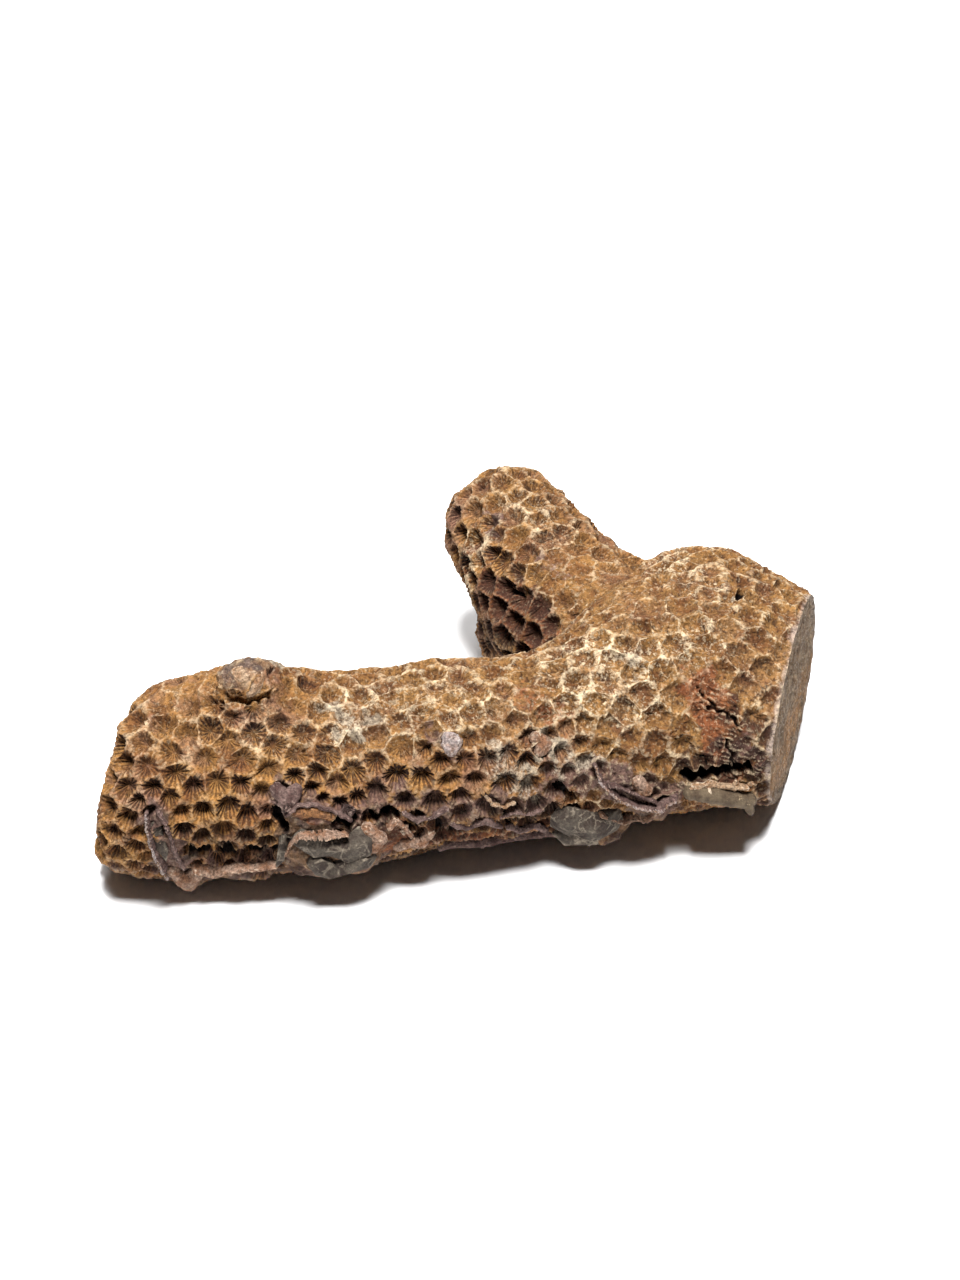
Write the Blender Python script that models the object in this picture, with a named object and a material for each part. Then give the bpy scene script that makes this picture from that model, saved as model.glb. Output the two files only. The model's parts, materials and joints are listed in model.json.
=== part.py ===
"""A branching fossil coral lying on its side: a thick trunk that forks into a long and a short branch.

The limbs are lofted through a few cross-sections, lumps and ledges of cemented crust are added, and all of it is
fused into one skin. That skin is then divided into corallites: many-sided cups that share their walls, each a
sunken fan of triangles. A broken face ends the trunk, and the coral is parted at its fork into three solids.

Units: the tables below are in millimetres. +X runs along the long branch towards the broken end, +Y points to the
back, where the short branch leans, and +Z is up. The finished coral has its origin at the middle of its underside.
"""

import heapq
import math
import random

import bmesh
import bpy
import numpy as np
from mathutils import Matrix, Vector, kdtree
from mathutils.bvhtree import BVHTree

MM = 0.001

# Cross-sections of the stem, each cut square to X: x, y, z of the centre, half depth, half height.
STEM = (
    (-55.0, -36.0, 10.4, 6.5, 6.0),
    (-53.4, -35.6, 11.2, 9.8, 9.0),
    (-50.5, -35.1, 12.0, 12.3, 11.8),
    (-46.0, -34.8, 12.7, 12.9, 13.0),
    (-40.0, -34.3, 13.3, 13.2, 13.7),
    (-30.0, -33.3, 14.2, 13.6, 13.5),
    (-18.0, -32.0, 13.5, 13.2, 12.6),
    (-8.0, -30.5, 14.0, 13.1, 13.0),
    (2.0, -28.4, 14.2, 13.2, 13.2),
    (10.0, -26.0, 14.5, 14.0, 13.6),
    (18.0, -20.5, 15.4, 17.5, 15.4),
    (26.0, -14.6, 15.9, 22.0, 16.1),
    (34.0, -12.2, 16.3, 23.2, 16.6),
    (41.0, -13.6, 15.6, 20.6, 15.7),
    (48.0, -16.0, 14.2, 17.8, 14.2),
    (55.0, -18.0, 13.0, 16.0, 12.8),
)
# Cross-sections of the short branch, each cut square to its path.
FINGER = (
    (25.0, -9.0, 14.0, 13.0, 12.5),
    (19.0, -2.0, 14.5, 12.4, 12.5),
    (12.4, 6.0, 16.2, 12.0, 12.4),
    (8.1, 13.0, 18.8, 10.3, 11.4),
    (5.2, 18.2, 21.2, 9.6, 10.6),
    (2.2, 22.2, 23.6, 9.2, 9.4),
    (0.0, 25.0, 25.2, 6.8, 6.8),
    (-0.9, 26.4, 26.0, 2.6, 2.6),
)
# Swellings of the coral itself: x, y, z, half width, half depth, half height.
SWELLINGS = (
    (7.6, 12.5, 8.0, 8.2, 8.5, 8.9),
    (-32.0, -33.0, 25.8, 7.8, 6.5, 3.6),
    (-6.0, -26.5, 24.8, 6.0, 5.0, 2.4),
    (21.8, 2.0, 19.4, 6.0, 8.0, 7.8),
)
# Lumps of cemented crust, in the same order.
CRUST_LUMPS = (
    (-31.7, -34.2, 29.0, 2.8, 2.5, 2.4),
    (-40.4, -42.2, 3.2, 3.0, 3.2, 3.2),
    (-23.4, -43.6, 9.4, 4.6, 3.8, 4.4),
    (-17.8, -42.8, 8.8, 4.6, 3.9, 4.0),
    (-14.0, -43.2, 10.6, 1.8, 1.8, 1.8),
    (-25.9, -45.4, 18.0, 1.9, 1.6, 1.9),
    (-9.6, -42.0, 9.0, 2.0, 2.0, 1.7),
    (-6.6, -41.2, 8.6, 1.7, 1.8, 1.6),
    (-3.8, -39.3, 22.7, 1.6, 1.6, 1.6),
    (8.8, -37.7, 21.6, 1.6, 1.6, 1.6),
    (13.6, -35.6, 7.0, 3.6, 3.4, 3.4),
    (17.6, -33.4, 5.4, 3.4, 3.2, 3.2),
)
# Ledges and ridges of crust: points along the ridge, then its radius.
CRUST_RIDGES = (
    (((-43.8, -45.6, 17.6), (-42.2, -46.4, 11.0), (-41.0, -44.2, 4.6)), 1.8),
    (((-38.4, -43.6, 4.8), (-33.6, -45.2, 5.2), (-28.4, -44.6, 5.4)), 1.2),
    (((-25.4, -46.0, 14.2), (-22.6, -46.3, 15.6), (-19.6, -45.6, 14.8)), 1.1),
    (((16.6, -38.2, 17.4), (20.8, -37.6, 12.6), (24.8, -34.4, 7.6)), 1.3),
    (((28.0, -36.2, 12.6), (32.8, -36.8, 11.4), (38.0, -34.6, 9.8)), 1.2),
)
# The long branch's outer end is a worn slanting face.
END_POINT = (-50.5, -35.0, 15.0)
END_NORMAL = (-0.966, 0.03, 0.258)
LOFT_SIDES = 28
LOFT_STEPS = 4
RIDGE_STEP = 0.9
SKIN_VOXEL = 0.65
SKIN_SMOOTHING = 8
SWAY = 0.45
SWAY_SCALE = 7.0

CUP_SPACING = 3.65
CRUST_SPACING = 1.65
CLOSEST_SHARE = 0.82
CRUST_REACH = 0.8
RELAX_ROUNDS = 5
CORNER_MERGE = 0.3
WALL_RISE = 0.2
CUP_DEPTH = 1.25
WORN_CUP_DEPTH = 0.85
DEEPEST_SHARE = 0.6
REST_HEIGHT = 0.8

BREAK_POINT = (45.9, -16.0, 15.0)
BREAK_NORMAL = (0.958, -0.286, 0.0)
BREAK_BLOCK = (90.0, 90.0, 60.0)
FINGER_POINT = (12.0, 1.0, 15.0)
FINGER_NORMAL = (-0.60, 0.75, 0.28)
FINGER_BLOCK = (42.0, 42.0, 60.0)
BRANCH_POINT = (8.0, -32.5, 15.0)
BRANCH_NORMAL = (-1.0, 0.0, 0.0)
BRANCH_BLOCK = (44.0, 44.0, 70.0)
GAP = 0.3
SEED = 11

OCHRE_STONE = (0.36, 0.21, 0.085, 1.0)
ROUGHNESS = 0.9


def clear_scene():
    for obj in list(bpy.data.objects):
        bpy.data.objects.remove(obj)


def link(name, mesh):
    obj = bpy.data.objects.new(name, mesh)
    bpy.context.scene.collection.objects.link(obj)
    return obj


def smooth_path(points, steps):
    """Catmull-Rom points through rows of numbers, with the given steps between each two rows."""
    rows = np.array(points, float)
    rows = np.vstack([2 * rows[0] - rows[1], rows, 2 * rows[-1] - rows[-2]])
    path = []
    for before, start, end, after in zip(rows, rows[1:], rows[2:], rows[3:]):
        for t in np.arange(steps) / steps:
            straight = 2 * start + (end - before) * t
            bend = (2 * before - 5 * start + 4 * end - after) * t**2
            turn = (3 * start - before - 3 * end + after) * t**3
            path.append((straight + bend + turn) / 2)
    path.append(rows[-2])
    return np.array(path)


def add_limb(bm, sections, across=None):
    """A closed loft through elliptical cross-sections, square to `across` or to the path itself."""
    path = smooth_path(sections, LOFT_STEPS)
    headings = np.gradient(path[:, :3], axis=0)
    rings = []
    for (x, y, z, half_depth, half_height), heading in zip(path, headings):
        ahead = Vector(across or heading).normalized()
        side = ahead.cross(Vector((0, 0, 1))).normalized()
        up = side.cross(ahead)
        ring = []
        for corner in range(LOFT_SIDES):
            angle = 2 * math.pi * corner / LOFT_SIDES
            offset = side * math.cos(angle) * half_depth + up * math.sin(angle) * half_height
            ring.append(bm.verts.new((Vector((x, y, z)) + offset) * MM))
        rings.append(ring)
    for ring, following in zip(rings, rings[1:]):
        for corner in range(LOFT_SIDES):
            after = (corner + 1) % LOFT_SIDES
            bm.faces.new((ring[corner], following[corner], following[after], ring[after]))
    bm.faces.new(rings[0])
    bm.faces.new(reversed(rings[-1]))


def flatten_end(bm):
    """Cuts the outer end of the long branch to its slanting face."""
    everything = bm.verts[:] + bm.edges[:] + bm.faces[:]
    bmesh.ops.bisect_plane(
        bm, geom=everything, plane_co=Vector(END_POINT) * MM, plane_no=END_NORMAL, clear_outer=True
    )
    bmesh.ops.holes_fill(bm, edges=[edge for edge in bm.edges if edge.is_boundary])


def add_lump(bm, centre, half_sizes):
    place = Matrix.Translation(Vector(centre) * MM)
    size = Matrix.Diagonal((*(half * MM for half in half_sizes), 1.0))
    bmesh.ops.create_icosphere(bm, subdivisions=3, radius=1.0, matrix=place @ size)


def ridge_beads():
    """The overlapping round beads that make up the crust's ridges and ledges: (centre, half sizes)."""
    beads = []
    for points, radius in CRUST_RIDGES:
        path = smooth_path(points, 12)
        lengths = np.linalg.norm(np.diff(path, axis=0), axis=1)
        along = np.concatenate([[0.0], np.cumsum(lengths)])
        for distance in np.arange(0.0, along[-1], RIDGE_STEP):
            centre = [np.interp(distance, along, path[:, axis]) for axis in range(3)]
            beads.append((centre, (radius,) * 3))
    return beads


def crust_beads():
    return [(lump[:3], lump[3:]) for lump in CRUST_LUMPS] + ridge_beads()


def sway(point):
    """A slow unevenness of the grown surface, in metres, at a point in metres."""
    x, y, z = Vector(point) / (SWAY_SCALE * MM)
    swing = (math.sin(y + 2 * math.cos(z)), math.sin(z + 2 * math.cos(x)), math.sin(x + 2 * math.cos(y)))
    return Vector(swing) * SWAY * MM


def coral_skin(beads):
    """Points and triangles of the fused limbs and crust, before any cup is cut."""
    bm = bmesh.new()
    add_limb(bm, STEM, across=(1, 0, 0))
    flatten_end(bm)
    add_limb(bm, FINGER)
    for swelling in SWELLINGS:
        add_lump(bm, swelling[:3], swelling[3:])
    for centre, half_sizes in beads:
        add_lump(bm, centre, half_sizes)
    bmesh.ops.recalc_face_normals(bm, faces=bm.faces)
    mesh = bpy.data.meshes.new("skin")
    bm.to_mesh(mesh)
    bm.free()
    skin = link("skin", mesh)
    fuse = skin.modifiers.new("fuse", "REMESH")
    fuse.mode = "VOXEL"
    fuse.voxel_size = SKIN_VOXEL * MM
    soften = skin.modifiers.new("soften", "SMOOTH")
    soften.iterations = SKIN_SMOOTHING
    made = skin.evaluated_get(bpy.context.evaluated_depsgraph_get()).to_mesh()
    made.calc_loop_triangles()
    points = np.array([vertex.co + sway(vertex.co) for vertex in made.vertices])
    triangles = np.array([triangle.vertices for triangle in made.loop_triangles])
    bpy.data.objects.remove(skin)
    return in_order(points, triangles)


def in_order(points, triangles):
    """The same mesh with its points sorted by place, so that nothing later depends on how it was numbered."""
    order = np.lexsort(np.round(points / MM, 3).T)
    number = np.empty(len(points), int)
    number[order] = np.arange(len(points))
    return points[order], number[triangles]


def on_crust(points, beads):
    """Which of the points lie on a lump or ridge of crust."""
    found = np.zeros(len(points), bool)
    for centre, half_sizes in beads:
        reach = (np.array(half_sizes) + CRUST_REACH) * MM
        found |= (((points - np.array(centre) * MM) / reach) ** 2).sum(1) < 1.0
    return found


def scatter_cups(points, crusted):
    """Cup centres thrown on the skin one by one, none closer to another than its own spacing."""
    order = list(range(len(points)))
    random.Random(SEED).shuffle(order)
    chosen = np.empty((0, 3))
    for index in order:
        spacing = (CRUST_SPACING if crusted[index] else CUP_SPACING) * CLOSEST_SHARE * MM
        if not len(chosen) or ((chosen - points[index]) ** 2).sum(1).min() > spacing**2:
            chosen = np.vstack([chosen, points[index]])
    return chosen


def nearest_cup(points, centres):
    tree = kdtree.KDTree(len(centres))
    for index, centre in enumerate(centres):
        tree.insert(centre, index)
    tree.balance()
    return np.array([tree.find(point)[1] for point in points])


def relaxed_cups(points, surface, centres):
    """The cup centres, moved in a few rounds to the middles of their own areas."""
    for _ in range(RELAX_ROUNDS):
        owner = nearest_cup(points, centres)
        count = np.bincount(owner, minlength=len(centres))[:, None]
        totals = np.stack([np.bincount(owner, points[:, axis], len(centres)) for axis in range(3)], 1)
        middles = (totals / np.maximum(count, 1))[count[:, 0] > 0]
        centres = np.array([surface.find_nearest(middle)[0] for middle in middles])
    return centres


def grown_areas(points, triangles, centres):
    """The cup that owns each point. Areas grow outwards from their centres, so that each is in one piece."""
    beside = [set() for _ in points]
    for a, b, c in triangles.tolist():
        beside[a].update((b, c))
        beside[b].update((a, c))
        beside[c].update((a, b))
    tree = kdtree.KDTree(len(points))
    for index, point in enumerate(points):
        tree.insert(point, index)
    tree.balance()
    front = [(0.0, cup, tree.find(centre)[1]) for cup, centre in enumerate(centres)]
    heapq.heapify(front)
    owner = np.full(len(points), -1)
    while front:
        _, cup, index = heapq.heappop(front)
        if owner[index] >= 0:
            continue
        owner[index] = cup
        for other in beside[index]:
            if owner[other] < 0:
                heapq.heappush(front, (math.dist(points[other], centres[cup]), cup, other))
    return owner


def cup_walls(points, triangles, centres):
    """A closed mesh of one polygon for each cup, with a corner wherever the areas of three cups meet."""
    owner = grown_areas(points, triangles, centres)
    bm = bmesh.new()
    turns = [{} for _ in centres]
    for triangle in triangles:
        cups = [int(cup) for cup in owner[triangle]]
        if len(set(cups)) == 3:
            corner = bm.verts.new(points[triangle].mean(0))
            for cup, right, left in zip(cups, cups[1:] + cups[:1], cups[2:] + cups[:2]):
                turns[cup][right] = (corner, left)
    for turn in turns:
        corners = []
        neighbour = min(turn)
        for _ in turn:
            corner, neighbour = turn[neighbour]
            corners.append(corner)
        bm.faces.new(corners)
    bmesh.ops.remove_doubles(bm, verts=bm.verts, dist=CORNER_MERGE * MM)
    return bm


def sink_cups(bm, surface, beads):
    """Raises the walls a little, sinks each cup's middle, and rubs the underside flat where the coral rests."""
    bm.normal_update()
    for corner in bm.verts:
        corner.co += corner.normal * WALL_RISE * MM
    rest = (min(corner.co.z for corner in bm.verts) / MM + REST_HEIGHT) * MM
    for corner in bm.verts:
        corner.co.z = max(corner.co.z, rest)
    faces = list(bm.faces)
    resting = [all(corner.co.z < rest + 1e-7 for corner in face.verts) for face in faces]
    crusted = on_crust(np.array([face.calc_center_median() for face in faces]), beads)
    facing = [face.normal.copy() for face in faces]
    middles = bmesh.ops.poke(bm, faces=faces)["verts"]
    for middle, normal, flat, crust in zip(middles, facing, resting, crusted):
        if flat:
            continue
        if crust:
            middle.co = surface.find_nearest(middle.co)[0] + normal * WALL_RISE * MM
        else:
            depth = CUP_DEPTH + (WORN_CUP_DEPTH - CUP_DEPTH) * max(normal.z, 0.0)
            reach = sum(edge.calc_length() for edge in middle.link_edges) / len(middle.link_edges)
            middle.co -= normal * min(depth * MM, reach * DEEPEST_SHARE)
        middle.co.z = max(middle.co.z, rest)


def centre_on_base(bm):
    """Moves the coral so that the origin is at the middle of its underside, and returns the move."""
    points = np.array([vertex.co for vertex in bm.verts])
    inside = (points - np.array(BREAK_POINT) * MM) @ np.array(BREAK_NORMAL) < 0
    low, high = points[inside].min(0), points[inside].max(0)
    broken = break_edge_x(bm)
    move = -Vector(((low[0] + broken) / 2, (low[1] + high[1]) / 2, low[2]))
    bmesh.ops.translate(bm, verts=bm.verts, vec=move)
    return move


def break_edge_x(bm):
    """The greatest X that is left once the broken end is cut off."""
    plane, normal = Vector(BREAK_POINT) * MM, Vector(BREAK_NORMAL)
    reach = []
    for edge in bm.edges:
        start, end = (vertex.co for vertex in edge.verts)
        from_start, from_end = (start - plane).dot(normal), (end - plane).dot(normal)
        if from_start * from_end < 0:
            reach.append(start.lerp(end, from_start / (from_start - from_end)).x)
    return max(reach)


def block_cutter(name, point, normal, size):
    """A block whose near face goes through the point, square to the normal, and which reaches on along it."""
    bm = bmesh.new()
    turn = Vector(normal).to_track_quat("Z", "Y").to_matrix().to_4x4()
    lift = Matrix.Translation((0, 0, size[2] / 2 * MM))
    scale = Matrix.Diagonal((*(side * MM for side in size), 1.0))
    bmesh.ops.create_cube(bm, size=1.0, matrix=Matrix.Translation(point) @ turn @ lift @ scale)
    mesh = bpy.data.meshes.new(name)
    bm.to_mesh(mesh)
    bm.free()
    cutter = link(name, mesh)
    cutter.hide_render = True
    cutter.display_type = "WIRE"
    return cutter


def cut(obj, cutter, operation):
    modifier = obj.modifiers.new(cutter.name, "BOOLEAN")
    modifier.operation = operation
    modifier.solver = "EXACT"
    modifier.object = cutter


def stone(name):
    material = bpy.data.materials.new(name)
    material.use_nodes = True
    shader = material.node_tree.nodes["Principled BSDF"]
    shader.inputs["Base Color"].default_value = OCHRE_STONE
    shader.inputs["Roughness"].default_value = ROUGHNESS
    shader.inputs["Metallic"].default_value = 0.0
    return material


def part_at_fork(whole, move):
    """Three solids from the whole coral, with a narrow gap at the foot of each branch."""

    def block(name, point, normal, size, recess=0.0):
        start = Vector(point) + Vector(normal).normalized() * recess
        return block_cutter(name, start * MM + move, normal, size)

    beyond_break = block("beyond_break", BREAK_POINT, BREAK_NORMAL, BREAK_BLOCK)
    steps = {"trunk": [(beyond_break, "DIFFERENCE")]}
    feet = (
        ("long_branch", BRANCH_POINT, BRANCH_NORMAL, BRANCH_BLOCK),
        ("short_branch", FINGER_POINT, FINGER_NORMAL, FINGER_BLOCK),
    )
    for name, point, normal, size in feet:
        around = block("around_" + name, point, normal, size, -GAP / 2)
        inside = block("inside_" + name, point, normal, size, GAP / 2)
        steps["trunk"].append((around, "DIFFERENCE"))
        steps[name] = [(inside, "INTERSECT")]
    for name, cuts in steps.items():
        node = link(name, whole.copy())
        node.data.materials.append(stone(name + "_stone"))
        for cutter, operation in cuts:
            cut(node, cutter, operation)


def main():
    clear_scene()
    beads = crust_beads()
    points, triangles = coral_skin(beads)
    surface = BVHTree.FromPolygons(points.tolist(), triangles.tolist())
    centres = scatter_cups(points, on_crust(points, beads))
    centres = relaxed_cups(points, surface, centres)
    bm = cup_walls(points, triangles, centres)
    sink_cups(bm, surface, beads)
    move = centre_on_base(bm)
    whole = bpy.data.meshes.new("coral")
    bm.to_mesh(whole)
    bm.free()
    part_at_fork(whole, move)


main()
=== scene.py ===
"""A branching fossil coral: cups, walls and septa on stone, crust along its front, and a broken face.

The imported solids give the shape. Their walls are joined in one smooth skin, every cup that they hold becomes
a cell with radiating septa, and a Geometry Nodes tree sinks the cups and roughens the stone. The skin is cut
off flat at the trunk's broken end, and then parted where the solids are parted.
"""

from __future__ import annotations

import heapq
import json
import logging
import math
import random
from dataclasses import dataclass, field, fields
from enum import Enum
from functools import partial, reduce

import bmesh
import bpy
import numpy as np
from mathutils import Matrix, Vector, kdtree
from mathutils.bvhtree import BVHTree
from mathutils.geometry import delaunay_2d_cdt

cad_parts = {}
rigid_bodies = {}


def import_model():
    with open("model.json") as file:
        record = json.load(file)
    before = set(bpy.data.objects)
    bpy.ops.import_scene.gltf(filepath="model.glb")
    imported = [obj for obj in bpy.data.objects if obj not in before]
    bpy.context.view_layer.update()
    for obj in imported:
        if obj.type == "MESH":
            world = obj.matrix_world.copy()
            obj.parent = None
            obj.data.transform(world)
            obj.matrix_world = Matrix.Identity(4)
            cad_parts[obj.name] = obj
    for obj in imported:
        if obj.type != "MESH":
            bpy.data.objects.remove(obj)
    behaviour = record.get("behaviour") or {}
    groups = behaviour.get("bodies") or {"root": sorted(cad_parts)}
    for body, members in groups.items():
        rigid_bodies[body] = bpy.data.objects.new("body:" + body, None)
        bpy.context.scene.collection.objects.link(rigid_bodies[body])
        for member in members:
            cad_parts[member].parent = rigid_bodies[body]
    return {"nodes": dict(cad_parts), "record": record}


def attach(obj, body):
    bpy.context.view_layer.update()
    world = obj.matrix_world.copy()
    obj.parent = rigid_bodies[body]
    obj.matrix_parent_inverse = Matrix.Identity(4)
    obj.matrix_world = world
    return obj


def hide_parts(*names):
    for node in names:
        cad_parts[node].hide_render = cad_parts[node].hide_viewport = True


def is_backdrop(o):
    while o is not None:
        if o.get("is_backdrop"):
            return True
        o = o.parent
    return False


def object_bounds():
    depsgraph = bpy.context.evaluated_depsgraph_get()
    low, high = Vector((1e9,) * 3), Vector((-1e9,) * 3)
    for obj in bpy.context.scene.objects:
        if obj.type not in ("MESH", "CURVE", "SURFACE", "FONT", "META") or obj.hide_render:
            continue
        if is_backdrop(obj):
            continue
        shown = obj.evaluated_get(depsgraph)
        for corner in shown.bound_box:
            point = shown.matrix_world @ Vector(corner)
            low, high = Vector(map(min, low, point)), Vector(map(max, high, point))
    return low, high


LOG = logging.getLogger("fossil_coral")
MM = 0.001
BODY = "root"
BREAK_MOUNT = "broken_face"
TINY = MM / 1000
PLAIN_REACH = 0.5
PLAIN_RIB = 0.6
Pixel = tuple[float, float]
Tone = tuple[float, float, float, float]


def tone(red: int, green: int, blue: int) -> Tone:
    """A colour as Blender's nodes take it, from screen values of 0 to 255."""
    linear = [(v / 255 / 12.92) if v < 11 else ((v / 255 + 0.055) / 1.055) ** 2.4 for v in (red, green, blue)]
    return (linear[0], linear[1], linear[2], 1.0)


class Layer(Enum):
    """The numbers that the skin carries at each point, for the relief and for the colours."""

    REACH = "reach"
    RIB = "rib"
    DEPTH = "cup_depth"
    HOLLOW = "hollow"
    CRUST = "crust"
    WEAR = "wear"
    SHADE = "shade"
    # How far up its cup's slope a point lies; it places the painted shade on the upper side of each cup.
    SHELTER = "shelter"
    PALE = "pale"
    VIOLET = "violet"
    RUST = "rust"
    # Painted shade under the short branch and on the low front, over a stone that is darker there.
    SOOT = "soot"
    WEB = "web"
    LINED = "lined"
    BARE = "bare"
    CREST = "crest"
    RIM = "rim"
    BROKEN = "broken"


@dataclass(frozen=True)
class View:
    """The camera: what it looks at, how far off and how high it stands, and its lens."""

    target: tuple[float, float, float] = (1.40, 9.63, 13.99)
    distance: float = 350.0
    elevation: float = 33.0
    lens: float = 65.0
    sensor: float = 36.0
    frame: tuple[int, int] = (960, 1280)

    def back(self) -> Vector:
        """The direction from the target to the camera."""
        angle = math.radians(self.elevation)
        return Vector((0.0, -math.cos(angle), math.sin(angle)))

    def place(self) -> Vector:
        """Where the camera stands, in metres."""
        return (Vector(self.target) + self.back() * self.distance) * MM

    def ray(self, pixel: Pixel) -> Vector:
        """The direction in which a pixel of the frame looks.

        Args:
            pixel: its column and row.

        Returns:
            A unit vector.
        """
        focal = self.frame[1] * self.lens / self.sensor
        across = Vector((1.0, 0.0, 0.0)) * (pixel[0] - self.frame[0] / 2)
        up = self.back().cross(Vector((1.0, 0.0, 0.0))) * (self.frame[1] / 2 - pixel[1])
        return (across + up - self.back() * focal).normalized()


@dataclass(frozen=True)
class Patch:
    """A tinted area of the skin: which layer it fills, its middle line in pixels, its radius and strength."""

    layer: Layer
    line: tuple[Pixel, ...]
    radius: float
    strength: float = 1.0


@dataclass(frozen=True)
class Hollow:
    """A hole, slit or crack: its line in pixels, half width and depth in millimetres. A mound is below 0."""

    line: tuple[Pixel, ...]
    radius: float
    depth: float
    ragged: bool = True


PATCHES = (
    Patch(Layer.WEB, ((225, 705), (262, 735), (330, 752)), 6.0, 0.4),
    Patch(Layer.WEB, ((515, 500), (550, 530)), 5.0, 0.7),
    Patch(Layer.WEB, ((335, 700), (350, 735)), 3.4),
    Patch(Layer.WEB, ((560, 660), (640, 655), (700, 640)), 6.0, 0.9),
    Patch(Layer.WEB, ((560, 700), (640, 700)), 6.0, 0.9),
    Patch(Layer.WEB, ((655, 560), (700, 585), (730, 600)), 4.0, 0.9),
    Patch(Layer.WEB, ((480, 540), (470, 600)), 5.0, 0.8),
    Patch(Layer.WEB, ((380, 700), (470, 700)), 7.0, 0.7),
    Patch(Layer.PALE, ((330, 706), (352, 728), (372, 722)), 2.8, 0.75),
    Patch(Layer.PALE, ((500, 752), (512, 770), (530, 790)), 4.2, 0.62),
    Patch(Layer.PALE, ((540, 738), (552, 750)), 2.6, 0.9),
    Patch(Layer.PALE, ((626, 655), (640, 665)), 2.4, 0.5),
    Patch(Layer.PALE, ((560, 770), (600, 760)), 2.6, 0.6),
    Patch(Layer.PALE, ((232, 670), (262, 668)), 3.4, 0.6),
    Patch(Layer.PALE, ((736, 588), (735, 594)), 0.9, 0.9),
    Patch(Layer.VIOLET, ((492, 516), (488, 532)), 2.2, 1.2),
    Patch(Layer.VIOLET, ((540, 555), (560, 575)), 2.4, 0.6),
    Patch(Layer.VIOLET, ((440, 735), (460, 750)), 2.6, 0.7),
    Patch(Layer.VIOLET, ((150, 815), (172, 850), (188, 880)), 2.6, 0.9),
    Patch(Layer.VIOLET, ((278, 790), (330, 815), (370, 815)), 2.8, 0.9),
    Patch(Layer.VIOLET, ((560, 780), (610, 780), (670, 800)), 4.6, 0.95),
    Patch(Layer.VIOLET, ((385, 800), (470, 810), (550, 800)), 4.2, 0.8),
    Patch(Layer.VIOLET, ((205, 866), (270, 862)), 2.2, 0.8),
    Patch(Layer.VIOLET, ((735, 745), (765, 760)), 3.4, 0.7),
    Patch(Layer.RUST, ((705, 690), (722, 730), (740, 765)), 5.4, 0.9),
    Patch(Layer.RUST, ((300, 818), (340, 815)), 1.6),
    Patch(Layer.RUST, ((570, 575), (600, 600)), 4.0, 0.3),
    Patch(Layer.RUST, ((520, 690), (560, 720)), 5.0, 0.5),
    # Painted shade under the short branch.
    Patch(Layer.SOOT, ((485, 596), (512, 606), (540, 630)), 6.5, 1.0),
    Patch(Layer.SOOT, ((485, 630), (520, 645)), 6.0, 0.9),
    Patch(Layer.RUST, ((485, 596), (512, 610), (545, 640)), 6.5, 0.9),
    # Painted shade, over a darker stone, under the shelf and the ledges and along the low front.
    Patch(Layer.SOOT, ((700, 765), (735, 756), (768, 742)), 4.0, 1.0),
    Patch(Layer.SOOT, ((190, 840), (280, 845)), 3.4, 0.9),
    Patch(Layer.SOOT, ((700, 775), (770, 760)), 4.0, 0.8),
    Patch(Layer.SOOT, ((735, 720), (770, 780), (765, 810)), 4.6, 0.9),
    Patch(Layer.SOOT, ((385, 825), (470, 828), (550, 818)), 4.6, 0.85),
    Patch(Layer.SOOT, ((430, 844), (500, 842), (555, 838)), 3.2, 1.1),
    Patch(Layer.RUST, ((385, 835), (470, 840), (560, 832)), 4.6, 0.9),
    Patch(Layer.SOOT, ((290, 880), (400, 862), (520, 850), (640, 830)), 5.0, 0.8),
    Patch(Layer.LINED, ((712, 700), (728, 735), (745, 765)), 4.2),
    Patch(Layer.BARE, ((572, 570), (600, 585), (615, 600)), 6.5),
    Patch(Layer.BARE, ((150, 700), (200, 690), (290, 700)), 4.0, 0.8),
    Patch(Layer.BARE, ((520, 700), (545, 690)), 3.0, 0.8),
    Patch(Layer.BARE, ((410, 690), (440, 700)), 3.0, 0.7),
)
HOLLOWS = (
    Hollow(((741, 593),), 0.68, 2.6, False),
    Hollow(((502, 820), (526, 818), (548, 814)), 0.45, 1.2),
    Hollow(((440, 828), (452, 832)), 0.8, 1.6),
    Hollow(((408, 826), (420, 828)), 0.6, 1.4),
    Hollow(((172, 692), (205, 686), (240, 672), (264, 672)), 7.5, -1.4),
    Hollow(((220, 697), (246, 701), (268, 695)), 0.7, 1.3),
    Hollow(((686, 777), (715, 772), (748, 768)), 0.95, 2.6),
    Hollow(((700, 690), (712, 708), (724, 712), (736, 724)), 0.42, 1.0),
    Hollow(((726, 740), (732, 756), (728, 770)), 0.42, 0.9),
    Hollow(((278, 812), (282, 828)), 0.9, 2.2),
    Hollow(((336, 821), (352, 823)), 0.8, 2.0),
    Hollow(((194, 853), (220, 855), (245, 853), (272, 850)), 1.0, 2.4),
    Hollow(((376, 818), (396, 814)), 0.7, 1.6),
    Hollow(((560, 790), (572, 796)), 0.7, 1.4),
    Hollow(((466, 567), (470, 572)), 0.9, 1.4),
    Hollow(((508, 590), (520, 594)), 0.7, 1.2),
)


def smoothstep(low: float, high: float, value: np.ndarray) -> np.ndarray:
    """0 below low, 1 above high, and a smooth rise between."""
    share = np.clip((value - low) / (high - low), 0.0, 1.0)
    return share * share * (3 - 2 * share)


def zone(ends: tuple[float, float], values: np.ndarray) -> np.ndarray:
    """0 before a zone, 1 past it, a smooth rise between. Its ends are in millimetres, values in metres."""
    return smoothstep(ends[0] * MM, ends[1] * MM, values)


def link(name: str, data: bpy.types.ID) -> bpy.types.Object:
    """A new object at the origin that shows a mesh, a light or a camera."""
    obj = bpy.data.objects.new(name, data)
    bpy.context.scene.collection.objects.link(obj)
    return obj


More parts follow.
